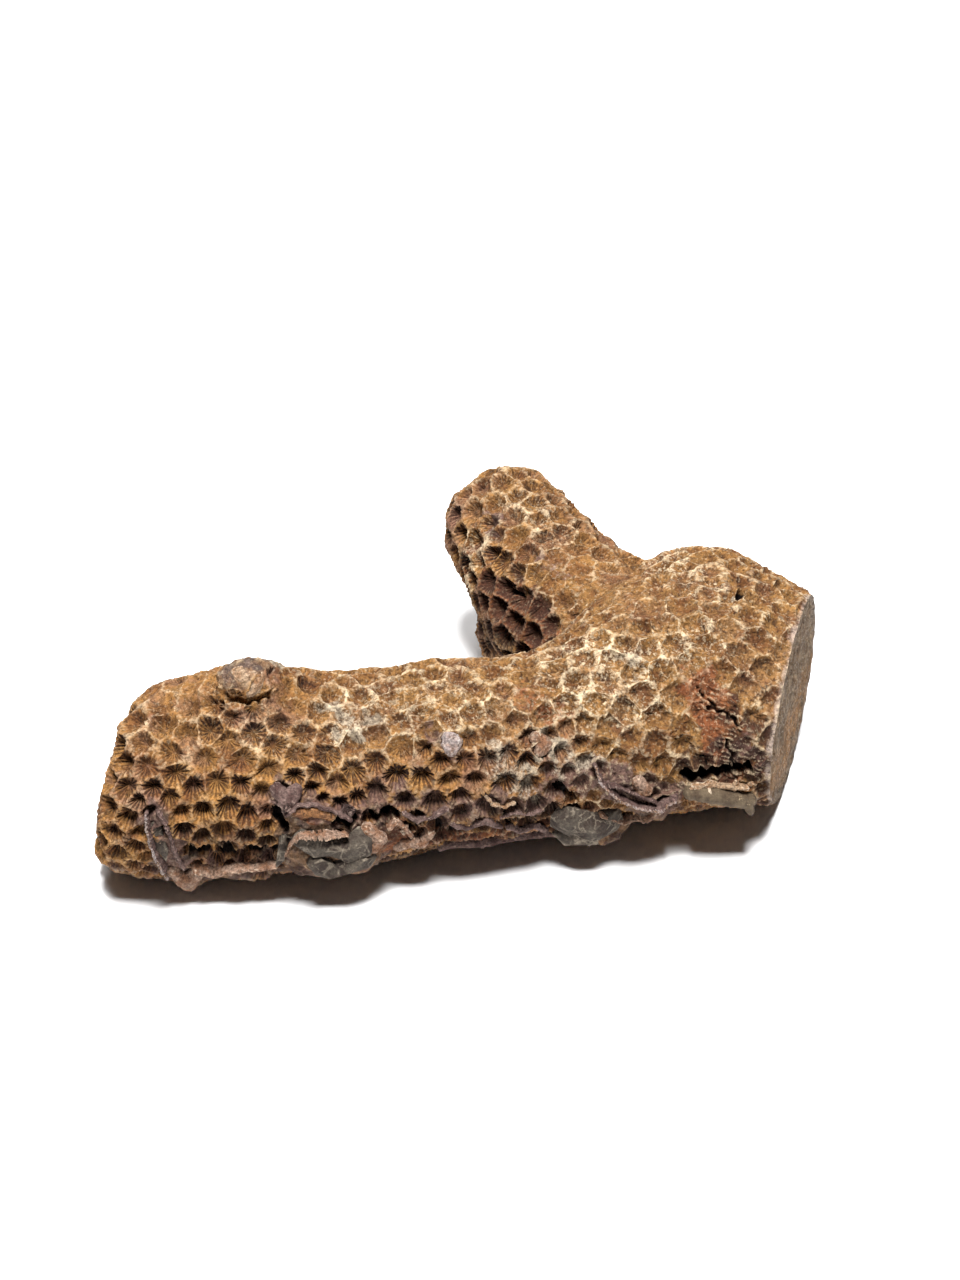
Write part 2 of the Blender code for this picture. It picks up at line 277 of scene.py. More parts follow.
def mesh_points(mesh: bpy.types.Mesh) -> np.ndarray:
    """Reads the places of a mesh's points.

    Args:
        mesh: the mesh.

    Returns:
        The places, one row each.
    """
    flat = np.empty(len(mesh.vertices) * 3, np.float32)
    mesh.vertices.foreach_get("co", flat)
    return flat.reshape(-1, 3).astype(float)


def mesh_triangles(mesh: bpy.types.Mesh) -> np.ndarray:
    """Reads the corners of a mesh's triangles.

    Args:
        mesh: the mesh.

    Returns:
        The points' numbers, one row each.
    """
    mesh.calc_loop_triangles()
    flat = np.empty(len(mesh.loop_triangles) * 3, np.int32)
    mesh.loop_triangles.foreach_get("vertices", flat)
    return flat.reshape(-1, 3)


def kd_tree(places: list | np.ndarray) -> kdtree.KDTree:
    """Makes a search tree.

    Args:
        places: places, which get their numbers in this order.

    Returns:
        The balanced tree.
    """
    tree = kdtree.KDTree(len(places))
    for index, place in enumerate(places):
        tree.insert(place, index)
    tree.balance()
    return tree


def line_distance(points: np.ndarray, line: list[Vector]) -> np.ndarray:
    """Measures how far places are from a line of straight runs.

    Args:
        points: the places, one row each.
        line: the line's corners.

    Returns:
        The distances.
    """
    nearest = np.linalg.norm(points - np.array(line[0]), axis=1)
    for start, end in zip(line, line[1:]):
        a, run = np.array(start), np.array(end - start)
        share = np.clip(((points - a) @ run) / (run @ run), 0.0, 1.0)
        nearest = np.minimum(nearest, np.linalg.norm(points - a - share[:, None] * run, axis=1))
    return nearest


def wobble(points: np.ndarray, size: float, reach: float) -> np.ndarray:
    """Shifts places by smooth waves, so that what is measured from them comes out uneven.

    Args:
        points: the places in metres.
        size: the waves' length in millimetres.
        reach: how far they shift, in millimetres.

    Returns:
        The shifted places.
    """
    turn = points / MM * (2 * math.pi / size)
    waves = [
        np.sin(turn[:, (axis + 1) % 3] * 1.31 + 1.7 * np.sin(turn[:, (axis + 2) % 3] * 0.73 + axis))
        for axis in range(3)
    ]
    return points + np.stack(waves, 1) * reach * MM


@dataclass
class SolidNode:
    """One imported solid: its merged mesh, which of its points are cup middles and which lie on a cut."""

    name: str
    mesh: bmesh.types.BMesh
    tree: BVHTree
    middles: dict[bmesh.types.BMVert, bool] = field(default_factory=dict)
    cut: dict[bmesh.types.BMVert, Vector] = field(default_factory=dict)


@dataclass
class CoralSkin:
    """The smooth skin through the tops of the cup walls, with the cups' middles. Sizes in millimetres."""

    pit: float = 0.3
    cut_reach: float = 0.45
    level_points: int = 8
    crown: float = 0.12
    overlap_share: float = 0.85
    overrun: float = 5.0
    voxel: float = 0.5
    smoothing: int = 7
    miss_reach: float = 60.0
    miss_steps: int = 121
    solids: list[SolidNode] = field(default_factory=list)
    break_point: Vector = field(default_factory=Vector)
    break_normal: Vector = field(default_factory=Vector)
    points: np.ndarray = field(default_factory=lambda: np.empty((0, 3)))
    normals: np.ndarray = field(default_factory=lambda: np.empty((0, 3)))
    triangles: np.ndarray = field(default_factory=lambda: np.empty((0, 3), int))
    cups: np.ndarray = field(default_factory=lambda: np.empty((0, 3)))
    plain: np.ndarray = field(default_factory=lambda: np.empty((0, 3)))
    surface: BVHTree | None = None

    def read(self, nodes: dict[str, bpy.types.Object], record: dict) -> None:
        """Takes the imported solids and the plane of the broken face.

        Args:
            nodes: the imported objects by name.
            record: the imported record, whose mounts hold the broken face.
        """
        mount = next(mount for mount in record["mounts"] if mount["name"] == BREAK_MOUNT)
        self.break_point = Vector(mount["pos_m"])
        self.break_normal = Vector(mount["axis"]).normalized()
        for name in sorted(nodes):
            bm = bmesh.new()
            bm.from_mesh(nodes[name].data)
            bmesh.ops.remove_doubles(bm, verts=bm.verts, dist=TINY)
            bm.normal_update()
            self.solids.append(SolidNode(name, bm, BVHTree.FromBMesh(bm)))
        for solid in self.solids:
            self._find_cuts(solid)
            self._find_middles(solid)

    def _find_cuts(self, solid: SolidNode) -> None:
        """Marks the points on a cut, with the way that closes it: to the solid beside, or past the break.

        Args:
            solid: the solid whose points are marked.
        """
        others = [other.tree for other in self.solids if other is not solid]
        for point in solid.mesh.verts:
            if abs((point.co - self.break_point).dot(self.break_normal)) < MM / 100:
                solid.cut[point] = self.break_normal * self.overrun * MM
                continue
            for tree in others:
                beside = tree.find_nearest(point.co, self.cut_reach * MM)[0]
                if beside is not None:
                    solid.cut[point] = (beside - point.co) * self.overlap_share

    def _find_middles(self, solid: SolidNode) -> None:
        """Finds the middle of every cell: the deep ones, then those across a wall from a known one.

        Args:
            solid: the solid whose middles are kept.
        """
        for point in solid.mesh.verts:
            around = [edge.other_vert(point).co for edge in point.link_edges]
            level = sum(around, Vector()) / len(around)
            if point not in solid.cut and (level - point.co).dot(point.normal) > self.pit * MM:
                solid.middles[point] = True
        front = list(solid.middles)
        while front:
            middle = front.pop()
            for face in middle.link_faces:
                for wall in face.edges:
                    if middle in wall.verts:
                        continue
                    for beyond in wall.link_faces:
                        other = next(point for point in beyond.verts if point not in wall.verts)
                        known = other in solid.middles or other in solid.cut
                        if known or any(edge.other_vert(other) in solid.middles for edge in other.link_edges):
                            continue
                        solid.middles[other] = False
                        front.append(other)

    def build(self) -> None:
        """Raises the middles to the wall tops, stretches the solids until they meet, then fuses them."""
        walls = [
            np.array(point.co)
            for solid in self.solids
            for point in solid.mesh.verts
            if point not in solid.middles and point not in solid.cut
        ]
        tree = kd_tree(walls)
        cups, plain = [], []
        whole = bmesh.new()
        for solid in self.solids:
            for point in sorted(solid.middles.keys() | solid.cut.keys(), key=lambda point: point.index):
                level = self._wall_level(point.co, tree)
                if point in solid.middles:
                    (cups if solid.middles[point] else plain).append(level)
                    level = level + point.normal * self.crown * MM
                else:
                    level = level + solid.cut[point]
                point.co = level
            part = bpy.data.meshes.new(solid.name)
            solid.mesh.to_mesh(part)
            whole.from_mesh(part)
            bpy.data.meshes.remove(part)
            solid.mesh.free()
        self._fuse(whole)
        self.cups = np.array([self.surface.find_nearest(point)[0] for point in cups])
        self.plain = np.array([self.surface.find_nearest(point)[0] for point in plain])

    def _wall_level(self, place: Vector, walls: kdtree.KDTree) -> Vector:
        """Finds where the plane through the nearest wall tops passes a place.

        Args:
            place: the place.
            walls: a search tree of the wall tops.

        Returns:
            The place on the plane.
        """
        near = np.array([found[0] for found in walls.find_n(place, self.level_points)])
        middle = near.mean(0)
        normal = np.linalg.svd(near - middle)[2][2]
        return place + Vector(normal) * float((middle - np.array(place)) @ normal)

    def _fuse(self, whole: bmesh.types.BMesh) -> None:
        """Makes one smooth closed skin of the stretched solids and reads it.

        Args:
            whole: the solids. It is freed.
        """
        mesh = bpy.data.meshes.new("skin")
        whole.to_mesh(mesh)
        whole.free()
        skin = link("skin", mesh)
        fuse = skin.modifiers.new("fuse", "REMESH")
        fuse.mode = "VOXEL"
        fuse.voxel_size = self.voxel * MM
        soften = skin.modifiers.new("soften", "SMOOTH")
        soften.iterations = self.smoothing
        made = skin.evaluated_get(bpy.context.evaluated_depsgraph_get()).to_mesh()
        points, triangles = mesh_points(made), mesh_triangles(made)
        normals = np.array([vertex.normal for vertex in made.vertices])
        bpy.data.objects.remove(skin)
        order = np.lexsort(np.round(points / MM, 3).T)
        number = np.empty(len(points), int)
        number[order] = np.arange(len(points))
        self.points, self.normals, self.triangles = points[order], normals[order], number[triangles]
        self.surface = BVHTree.FromPolygons(self.points.tolist(), self.triangles.tolist())

    def spot(self, view: View, pixel: Pixel) -> tuple[Vector, Vector]:
        """The place on the skin that a pixel of the frame shows, and the skin's direction there.

        Args:
            view: the camera.
            pixel: column and row in its frame.

        Returns:
            The place and the outward normal; beside the coral, those of the nearest place.
        """
        ray = view.ray(pixel)
        place, normal, _, _ = self.surface.ray_cast(view.place(), ray)
        if place is None:
            depth = (Vector(view.target) * MM - view.place()).dot(ray)
            steps = np.linspace(-self.miss_reach, self.miss_reach, self.miss_steps) * MM
            passed = [self.surface.find_nearest(view.place() + ray * (depth + step)) for step in steps]
            place, normal, _, _ = min(passed, key=lambda found: found[3])
        return place, normal


@dataclass
class CellNet:
    """The cells that share the skin out between the cups: their corners, shared walls and rings of points."""

    filler_clear: float = 2.7
    cup_spacing: float = 3.1
    plain_spacing: float = 1.7
    merge: float = 0.3
    wall_step: float = 0.85
    wall_stray: float = 0.05
    seed: int = 5
    least_cup: float = 1.35
    opening: tuple[float, float] = (0.88, 1.06)
    roundness: float = 0.55
    ragged: float = 0.13
    off_middle: float = 0.12
    lean: float = 0.3
    climb: tuple[float, float, float] = (0.0, 0.4, 1.0)
    cup_rings: tuple[float, ...] = (0.9, 0.72, 0.48, 0.22)
    plain_rings: tuple[float, ...] = (0.66, 0.33)
    centres: np.ndarray = field(default_factory=lambda: np.empty((0, 3)))
    is_cup: np.ndarray = field(default_factory=lambda: np.empty(0, bool))
    places: list[Vector] = field(default_factory=list)
    reach: list[float] = field(default_factory=list)
    rib: list[float] = field(default_factory=list)
    cell: list[int] = field(default_factory=list)
    shelter: list[float] = field(default_factory=list)
    faces: list[tuple[int, ...]] = field(default_factory=list)
    face_cell: list[int] = field(default_factory=list)

    def share_out(self, skin: CoralSkin) -> None:
        """Lays every cell over the skin.

        Args:
            skin: the smooth skin and the cup middles on it.
        """
        self._fill_gaps(skin)
        owner = self._grow(skin)
        loops = self._corner_loops(skin, owner)
        rng = random.Random(self.seed)
        walls: dict[tuple[int, int], list[int]] = {}
        for cell, loop in enumerate(loops):
            if len(loop) < 3:
                continue
            ring: list[int] = []
            for start, end in zip(loop, loop[1:] + loop[:1]):
                key = (min(start, end), max(start, end))
                if key not in walls:
                    walls[key] = self._wall(key, skin, rng)
                inner = walls[key] if start == key[0] else walls[key][::-1]
                ring += [start] + inner
            self._fill_cell(cell, ring, skin, rng)

    def _fill_gaps(self, skin: CoralSkin) -> None:
        """Adds middles where no cell of the solids reaches, such as beside a cut.

        Args:
            skin: the smooth skin.
        """
        known = np.vstack([skin.cups, skin.plain])
        kinds = [True] * len(skin.cups) + [False] * len(skin.plain)
        order = list(range(len(skin.points)))
        random.Random(self.seed).shuffle(order)
        tree = kd_tree(known)
        added: list[np.ndarray] = []
        for index in order:
            place = skin.points[index]
            _, nearest, distance = tree.find(place)
            if distance < self.filler_clear * MM:
                continue
            gap = (self.cup_spacing if kinds[nearest] else self.plain_spacing) * MM
            if all(math.dist(place, other) > gap for other in added):
                added.append(place)
                kinds.append(kinds[nearest])
        self.centres = np.vstack([known] + [place[None] for place in added])
        self.is_cup = np.array(kinds)
        LOG.info("cells: %d cups, %d plain, %d added", sum(kinds), len(kinds) - sum(kinds), len(added))

    def _grow(self, skin: CoralSkin) -> np.ndarray:
        """Grows every cell from its middle over the skin, so that each is in one piece.

        Args:
            skin: the smooth skin.

        Returns:
            The cell that owns each point.
        """
        beside: list[set[int]] = [set() for _ in skin.points]
        for a, b, c in skin.triangles.tolist():
            beside[a].update((b, c))
            beside[b].update((a, c))
            beside[c].update((a, b))
        tree = kd_tree(skin.points)
        front = [(0.0, cell, tree.find(centre)[1]) for cell, centre in enumerate(self.centres)]
        heapq.heapify(front)
        owner = np.full(len(skin.points), -1)
        points, centres = skin.points.tolist(), self.centres.tolist()
        while front:
            _, cell, index = heapq.heappop(front)
            if owner[index] >= 0:
                continue
            owner[index] = cell
            for other in beside[index]:
                if owner[other] < 0:
                    heapq.heappush(front, (math.dist(points[other], centres[cell]), cell, other))
        return owner

    def _corner_loops(self, skin: CoralSkin, owner: np.ndarray) -> list[list[int]]:
        """Finds the corners of every cell, where three cells meet, and merges near ones.

        Args:
            skin: the smooth skin.
            owner: the cell that owns each of its points.

        Returns:
            The corners of each cell in order.
        """
        turns: list[dict[int, tuple[int, int]]] = [{} for _ in self.centres]
        for triangle, cells in zip(skin.triangles, owner[skin.triangles].tolist()):
            if len(set(cells)) < 3:
                continue
            corner = self._point(Vector(skin.points[triangle].mean(0)), 1.0, 1.0, cells[0])
            for cell, right, left in zip(cells, cells[1:] + cells[:1], cells[2:] + cells[:2]):
                turns[cell][right] = (corner, left)
        merged = list(range(len(self.places)))

        def first(corner: int) -> int:
            """The corner that a merged one stands for."""
            while merged[corner] != corner:
                corner = merged[corner]
            return corner

        loops: list[list[int]] = []
        for turn in turns:
            loop: list[int] = []
            neighbour = min(turn) if turn else 0
            for _ in turn:
                corner, neighbour = turn[neighbour]
                loop.append(corner)
            loops.append(loop)
        for loop in loops:
            for start, end in zip(loop, loop[1:] + loop[:1]):
                if (self.places[start] - self.places[end]).length < self.merge * MM:
                    low, high = sorted((first(start), first(end)))
                    merged[high] = low
        return [list(dict.fromkeys(first(corner) for corner in loop)) for loop in loops]

    def _point(self, place: Vector, reach: float, rib: float, cell: int, shelter: float = 0.0) -> int:
        """Adds a point.

        Args:
            place: where it is.
            reach: how far out in its cell.
            rib: how much of a rib it is, from 0 to 1.
            cell: its cell.
            shelter: how far up the slope from the cell's middle.

        Returns:
            Its number.
        """
        self.places.append(place)
        self.shelter.append(shelter)
        self.reach.append(reach)
        self.rib.append(rib)
        self.cell.append(cell)
        return len(self.places) - 1

    def _wall(self, ends: tuple[int, int], skin: CoralSkin, rng: random.Random) -> list[int]:
        """Lays the points between two corners, an odd number of them, so that ribs and grooves alternate.

        Args:
            ends: the corners.
            skin: the smooth skin.
            rng: the source of strays.

        Returns:
            The points' numbers.
        """
        start, end = self.places[ends[0]], self.places[ends[1]]
        steps = 2 * max(1, round((end - start).length / (self.wall_step * MM)))
        made = []
        for step in range(1, steps):
            stray = Vector([rng.uniform(-1, 1) for _ in range(3)]) * self.wall_stray * MM
            place = skin.surface.find_nearest(start.lerp(end, step / steps) + stray)[0]
            rib = rng.uniform(0.0, 0.4) if step % 2 else rng.uniform(0.6, 1.0)
            made.append(self._point(place, 1.0, rib, self.cell[ends[0]]))
        return made

    def _fill_cell(self, cell: int, walls: list[int], skin: CoralSkin, rng: random.Random) -> None:
        """Fills a cell with rings of points that close in on its middle.

        A cup's rings are rounder than its walls, and its middle lies up the slope, so that its upper side
        overhangs.

        Args:
            cell: the cell.
            walls: the points round it.
            skin: the smooth skin.
            rng: the source of unevenness.
        """
        centre = Vector(self.centres[cell])
        out = skin.surface.find_nearest(centre)[1]
        upslope = Vector(self.climb) - out * out.dot(Vector(self.climb))
        away = [self.places[wall] - centre for wall in walls]
        mean = sum(way.length for way in away) / len(away)
        self.is_cup[cell] |= mean > self.least_cup * MM
        cup = bool(self.is_cup[cell])
        opening = rng.uniform(*self.opening) if cup else 1.0
        spread = [1 + rng.uniform(-self.ragged, self.ragged) * cup for _ in walls]
        off = rng.choice(away) * rng.uniform(0, self.off_middle)
        middle = centre + (off + upslope * mean * self.lean) * cup
        ring = walls
        for share in self.cup_rings if cup else self.plain_rings:
            inner = []
            for wall, way, wide in zip(walls, away, spread):
                even = 1 + self.roundness * (mean / way.length - 1) if cup else 1.0
                reach = min(share * opening * even * wide * rng.uniform(0.96, 1.04), share**0.5)
                place = middle.lerp(centre, share) + way * reach
                if not cup:
                    place = skin.surface.find_nearest(place)[0]
                uphill = (place - centre).dot(upslope) / mean
                inner.append(self._point(place, share, self.rib[wall], cell, uphill))
            for index, outer in enumerate(ring):
                after = (index + 1) % len(ring)
                self.faces.append((outer, ring[after], inner[after], inner[index]))
                self.face_cell.append(cell)
            ring = inner
        heart = self._point(middle, 0.0, 0.5, cell, (middle - centre).dot(upslope) / mean)
        for index, outer in enumerate(ring):
            self.faces.append((outer, ring[(index + 1) % len(ring)], heart))
            self.face_cell.append(cell)


Socket = bpy.types.NodeSocket


@dataclass
class Wiring:
    """Adds nodes to a node tree and joins them."""

    tree: bpy.types.NodeTree

    def add(self, kind: str, inputs: dict | None = None, **settings: object) -> bpy.types.Node:
        """Adds a node.

        Args:
            kind: the node's type.
            inputs: for each input's name or number, the socket that feeds it or its value.
            settings: the node's own properties.

        Returns:
            The node.
        """
        node = self.tree.nodes.new(kind)
        for setting, value in settings.items():
            setattr(node, setting, value)
        for name, value in (inputs or {}).items():
            if isinstance(value, Socket):
                self.tree.links.new(value, node.inputs[name])
            else:
                node.inputs[name].default_value = value
        return node

    def maths(self, operation: str, *values: object) -> Socket:
        """The result of a sum, product or other operation on numbers."""
        return self.add("ShaderNodeMath", dict(enumerate(values)), operation=operation).outputs[0]

    def product(self, *values: object) -> Socket:
        """Several numbers multiplied together."""
        return reduce(partial(self.maths, "MULTIPLY"), values)

    def total(self, *values: object) -> Socket:
        """Several numbers added together."""
        return reduce(partial(self.maths, "ADD"), values)

    def largest(self, *values: object) -> Socket:
        """The largest of several numbers."""
        return reduce(partial(self.maths, "MAXIMUM"), values)

    def less(self, value: object, taken: object) -> Socket:
        """One number less another."""
        return self.maths("SUBTRACT", value, taken)

    def over(self, value: object, size: object) -> Socket:
        """One number divided by another."""
        return self.maths("DIVIDE", value, size)

    def object_place(self) -> Socket:
        """The Object coordinates of a shader."""
        return self.add("ShaderNodeTexCoord").outputs["Object"]

    def shader_layer(self, which: Layer) -> Socket:
        """A layer of the mesh, as a shader reads it."""
        return self.add("ShaderNodeAttribute", attribute_name=which.value).outputs["Fac"]

    def tree_layer(self, which: Layer) -> Socket:
        """A layer of the mesh, as a Geometry Nodes tree reads it."""
        node = self.add("GeometryNodeInputNamedAttribute", {"Name": which.value}, data_type="FLOAT")
        return node.outputs["Attribute"]

    def rise(self, value: object, low: float, high: float, start: float = 0.0, end: float = 1.0) -> Socket:
        """A smooth change from start to end as a value goes from low to high."""
        ramp = {"Value": value, "From Min": low, "From Max": high, "To Min": start, "To Max": end}
        return self.add("ShaderNodeMapRange", ramp, interpolation_type="SMOOTHSTEP").outputs["Result"]

    def mix(self, share: object, first: object, second: object, blend: str = "MIX") -> Socket:
        """Two colours mixed."""
        node = self.add("ShaderNodeMix", {0: share, 6: first, 7: second}, data_type="RGBA", blend_type=blend)
        return node.outputs[2]

    def noise(self, vector: object, scale: object, detail: float = 3.0, rough: float = 0.55) -> Socket:
        """A noise texture over a vector, about 0.5 on average."""
        inputs = {"Vector": vector, "Scale": scale, "Detail": detail, "Roughness": rough}
        return self.add("ShaderNodeTexNoise", inputs).outputs[0]

    def swing(self, vector: object, size: object, height: object, detail: float = 2.0) -> Socket:
        """Noise of a given size that swings about zero, multiplied by a height."""
        noise = self.noise(vector, self.over(1.0, size), detail)
        return self.product(self.less(noise, 0.5), height)


class Relief:
    """A Geometry Nodes tree that moves a surface's points along its normals. Its inputs are in metres."""

    name = "relief"
    seed: float

    def inputs(self) -> dict[str, float]:
        """The value of every input of the tree by name: its fields in metres, and the seed as it is."""
        sizes = {item.name.replace("_", " ").title(): getattr(self, item.name) * MM for item in fields(self)}
        return sizes | {"Seed": self.seed}

    def height(self, wires: Wiring, given: bpy.types.NodeOutputs, place: Socket) -> Socket:
        """Wires how far each point moves outwards."""
        raise NotImplementedError

    def apply(self, surface: bpy.types.Object, material: bpy.types.Material) -> bpy.types.Mesh:
        """Runs the tree on an object and removes the object.

        Args:
            surface: the object, with its layers as attributes.
            material: the finish that the tree sets.

        Returns:
            The finished mesh.
        """
        tree = self._tree(material)
        modifier = surface.modifiers.new(self.name, "NODES")
        modifier.node_group = tree
        values = self.inputs()
        for item in tree.interface.items_tree:
            if item.item_type == "SOCKET" and item.name in values:
                modifier[item.identifier] = values[item.name]
        graph = bpy.context.evaluated_depsgraph_get()
        made = bpy.data.meshes.new_from_object(surface.evaluated_get(graph))
        bpy.data.objects.remove(surface)
        return made

    def _tree(self, material: bpy.types.Material) -> bpy.types.NodeTree:
        """Builds the node tree, with a named input for each size and for the seed.

        Args:
            material: the finish that the tree sets.

        Returns:
            The tree.
        """
        tree = bpy.data.node_groups.new(self.name, "GeometryNodeTree")
        tree.interface.new_socket("Geometry", in_out="INPUT", socket_type="NodeSocketGeometry")
        for name in self.inputs():
            tree.interface.new_socket(name, in_out="INPUT", socket_type="NodeSocketFloat")
        tree.interface.new_socket("Geometry", in_out="OUTPUT", socket_type="NodeSocketGeometry")
        wires = Wiring(tree)
        given = wires.add("NodeGroupInput").outputs
        place = wires.add("GeometryNodeInputPosition").outputs[0]
        shift = wires.add("ShaderNodeCombineXYZ", {axis: given["Seed"] for axis in range(3)}).outputs[0]
        place = wires.add("ShaderNodeVectorMath", {0: place, 1: shift}, operation="ADD").outputs[0]
        rise = self.height(wires, given, place)
        normal = wires.add("GeometryNodeInputNormal").outputs[0]
        move = wires.add("ShaderNodeVectorMath", {0: normal, 3: rise}, operation="SCALE").outputs[0]
        moved = wires.add("GeometryNodeSetPosition", {"Geometry": given["Geometry"], "Offset": move})
        real = wires.add("GeometryNodeRealizeInstances", {"Geometry": moved.outputs[0]})
        dressed = wires.add("GeometryNodeSetMaterial", {"Geometry": real.outputs[0], "Material": material})
        wires.add("NodeGroupOutput", {"Geometry": dressed.outputs[0]})
        return tree


@dataclass
class CupRelief(Relief):
    """Sinks the cups between their broad walls, cuts their septa, and roughens the stone. Millimetres."""

    name = "cup_relief"
    wall_height: float = 0.24
    septa: float = 0.6
    grain: float = 0.42
    grain_size: float = 0.5
    crumb: float = 1.2
    crumb_size: float = 1.6
    swell: float = 1.8
    swell_size: float = 7.0
    lining: float = 0.13
    lining_size: float = 0.65
    chip: float = 0.4
    chip_size: float = 1.5
    seed: float = 3.0

    def height(self, wires: Wiring, given: bpy.types.NodeOutputs, place: Socket) -> Socket:
        """Wires how far each point moves outwards.

        Args:
            wires: the tree's wiring.
            given: the tree's inputs.
            place: each point's place, shifted by the seed.

        Returns:
            The height in metres.
        """
        layer = wires.tree_layer
        wanted = (Layer.REACH, Layer.CRUST, Layer.WEAR, Layer.LINED)
        reach, crust, wear, lined = [layer(which) for which in wanted]
        flat = wires.largest(lined, layer(Layer.BARE), layer(Layer.BROKEN))
        shaped = wires.product(wires.less(1.0, crust), wires.less(1.0, flat))
        wall = wires.product(wires.rise(reach, 0.75, 1.0), given["Wall Height"], shaped)
        bowl = wires.rise(reach, 0.25, 0.93, 1.0, 0.0)
        sunk = wires.product(bowl, layer(Layer.DEPTH), wires.less(1.0, flat))
        band = wires.product(wires.rise(reach, 0.1, 0.4), wires.rise(reach, 0.8, 1.0, 1.0, 0.35))
        keen = wires.rise(wear, 0.1, 0.9, 1.0, 0.15)
        septum = wires.product(wires.less(layer(Layer.RIB), PLAIN_RIB), given["Septa"], band, shaped, keen)
        grain = wires.swing(place, given["Grain Size"], given["Grain"])
        crumb = wires.swing(place, given["Crumb Size"], given["Crumb"], 3.0)
        crumb = wires.product(crumb, wires.total(crust, 0.35))
        swell = wires.swing(place, given["Swell Size"], given["Swell"])
        axes = wires.add("ShaderNodeSeparateXYZ", {0: place}).outputs
        bend = wires.swing(place, wires.product(given["Lining Size"], 5.0), 16.0)
        slope = wires.total(axes["Z"], wires.product(axes["X"], 0.35))
        turns = wires.product(wires.over(slope, given["Lining Size"]), 2 * math.pi)
        lining = wires.product(wires.maths("SINE", wires.total(turns, bend)), given["Lining"], lined)
        chipped = wires.noise(place, wires.over(1.0, given["Chip Size"]), 3.0, 0.6)
        chipped = wires.product(wires.rise(chipped, 0.54, 0.62), given["Chip"], wear, -1.0)
        calm = wires.less(1.0, wires.product(layer(Layer.RIM), 0.92))
        rise = wires.product(wires.total(wall, septum, grain, crumb, swell, lining, chipped), calm)
        return wires.less(rise, wires.total(wires.product(sunk, calm), layer(Layer.HOLLOW)))


@dataclass
class RockRelief(Relief):
    """Roughens the lumps and ledges of crust. Millimetres."""

    name = "rock_relief"
    lump: float = 0.5
    lump_size: float = 1.3
    grain: float = 0.2
    grain_size: float = 0.4
    seed: float = 9.0

    def height(self, wires: Wiring, given: bpy.types.NodeOutputs, place: Socket) -> Socket:
        """Wires how far each point moves outwards.

        Args:
            wires: the tree's wiring.
            given: the tree's inputs.
            place: each point's place, shifted by the seed.

        Returns:
            The height in metres.
        """
        lump = wires.swing(place, given["Lump Size"], given["Lump"], 3.0)
        grain = wires.swing(place, given["Grain Size"], given["Grain"])
        return wires.less(wires.total(lump, grain), wires.tree_layer(Layer.HOLLOW))


def write_layer(mesh: bpy.types.Mesh, layer: Layer, values: np.ndarray) -> None:
    """Stores one number for each point of a mesh under a layer's name."""
    held = mesh.attributes.get(layer.value) or mesh.attributes.new(layer.value, "FLOAT", "POINT")
    held.data.foreach_set("value", values.astype(np.float32))


def read_layer(mesh: bpy.types.Mesh, layer: Layer) -> np.ndarray:
    """Reads one number for each point of a mesh.

    Args:
        mesh: the mesh.
        layer: the layer that holds them.

    Returns:
        The numbers.
    """
    values = np.empty(len(mesh.vertices), np.float32)
    mesh.attributes[layer.value].data.foreach_get("value", values)
    return values.astype(float)


class Neighbours:
    """The points beside each point of a mesh."""

    def __init__(self, mesh: bpy.types.Mesh) -> None:
        """Reads which points of a mesh its edges join."""
        ends = np.empty(len(mesh.edges) * 2, np.int32)
        mesh.edges.foreach_get("vertices", ends)
        self.a, self.b = ends.reshape(-1, 2).T
        self.size = len(mesh.vertices)
        count = np.bincount(self.a, minlength=self.size) + np.bincount(self.b, minlength=self.size)
        self.count = np.maximum(count, 1)

    def mean(self, values: np.ndarray) -> np.ndarray:
        """Takes the mean of the numbers beside each point, column by column.

        Args:
            values: a number or a row of numbers for each point.

        Returns:
            The means, in the same form.
        """
        columns = values.reshape(self.size, -1).T
        sums = [self._sums(column[self.b], column[self.a]) for column in columns]
        return (np.stack(sums, 1) / self.count[:, None]).reshape(values.shape)

    def _sums(self, at_first: np.ndarray, at_second: np.ndarray) -> np.ndarray:
        """The sum, at each point, of what every edge brings to its first and its second end."""
        return np.bincount(self.a, at_first, self.size) + np.bincount(self.b, at_second, self.size)

    def spacing(self, points: np.ndarray) -> np.ndarray:
        """The mean distance from each point to those beside it."""
        apart = np.linalg.norm(points[self.a] - points[self.b], axis=1)
        return self._sums(apart, apart) / self.count


def mesh_normals(mesh: bpy.types.Mesh) -> np.ndarray:
    """The outward directions at a mesh's points, one row each."""
    return np.array([tuple(vector.vector) for vector in mesh.vertex_normals])


def write_crest(mesh: bpy.types.Mesh) -> None:
    """Stores how far each point stands out above the points beside it, as a share of their distance.

    Args:
        mesh: the finished mesh. Ridges get positive numbers, and hollows negative ones.
    """
    points = mesh_points(mesh)
    beside = Neighbours(mesh)
    stands = ((points - beside.mean(points)) * mesh_normals(mesh)).sum(1)
    stands /= np.maximum(beside.spacing(points), TINY)
    write_layer(mesh, Layer.CREST, (stands + beside.mean(stands)) / 2)


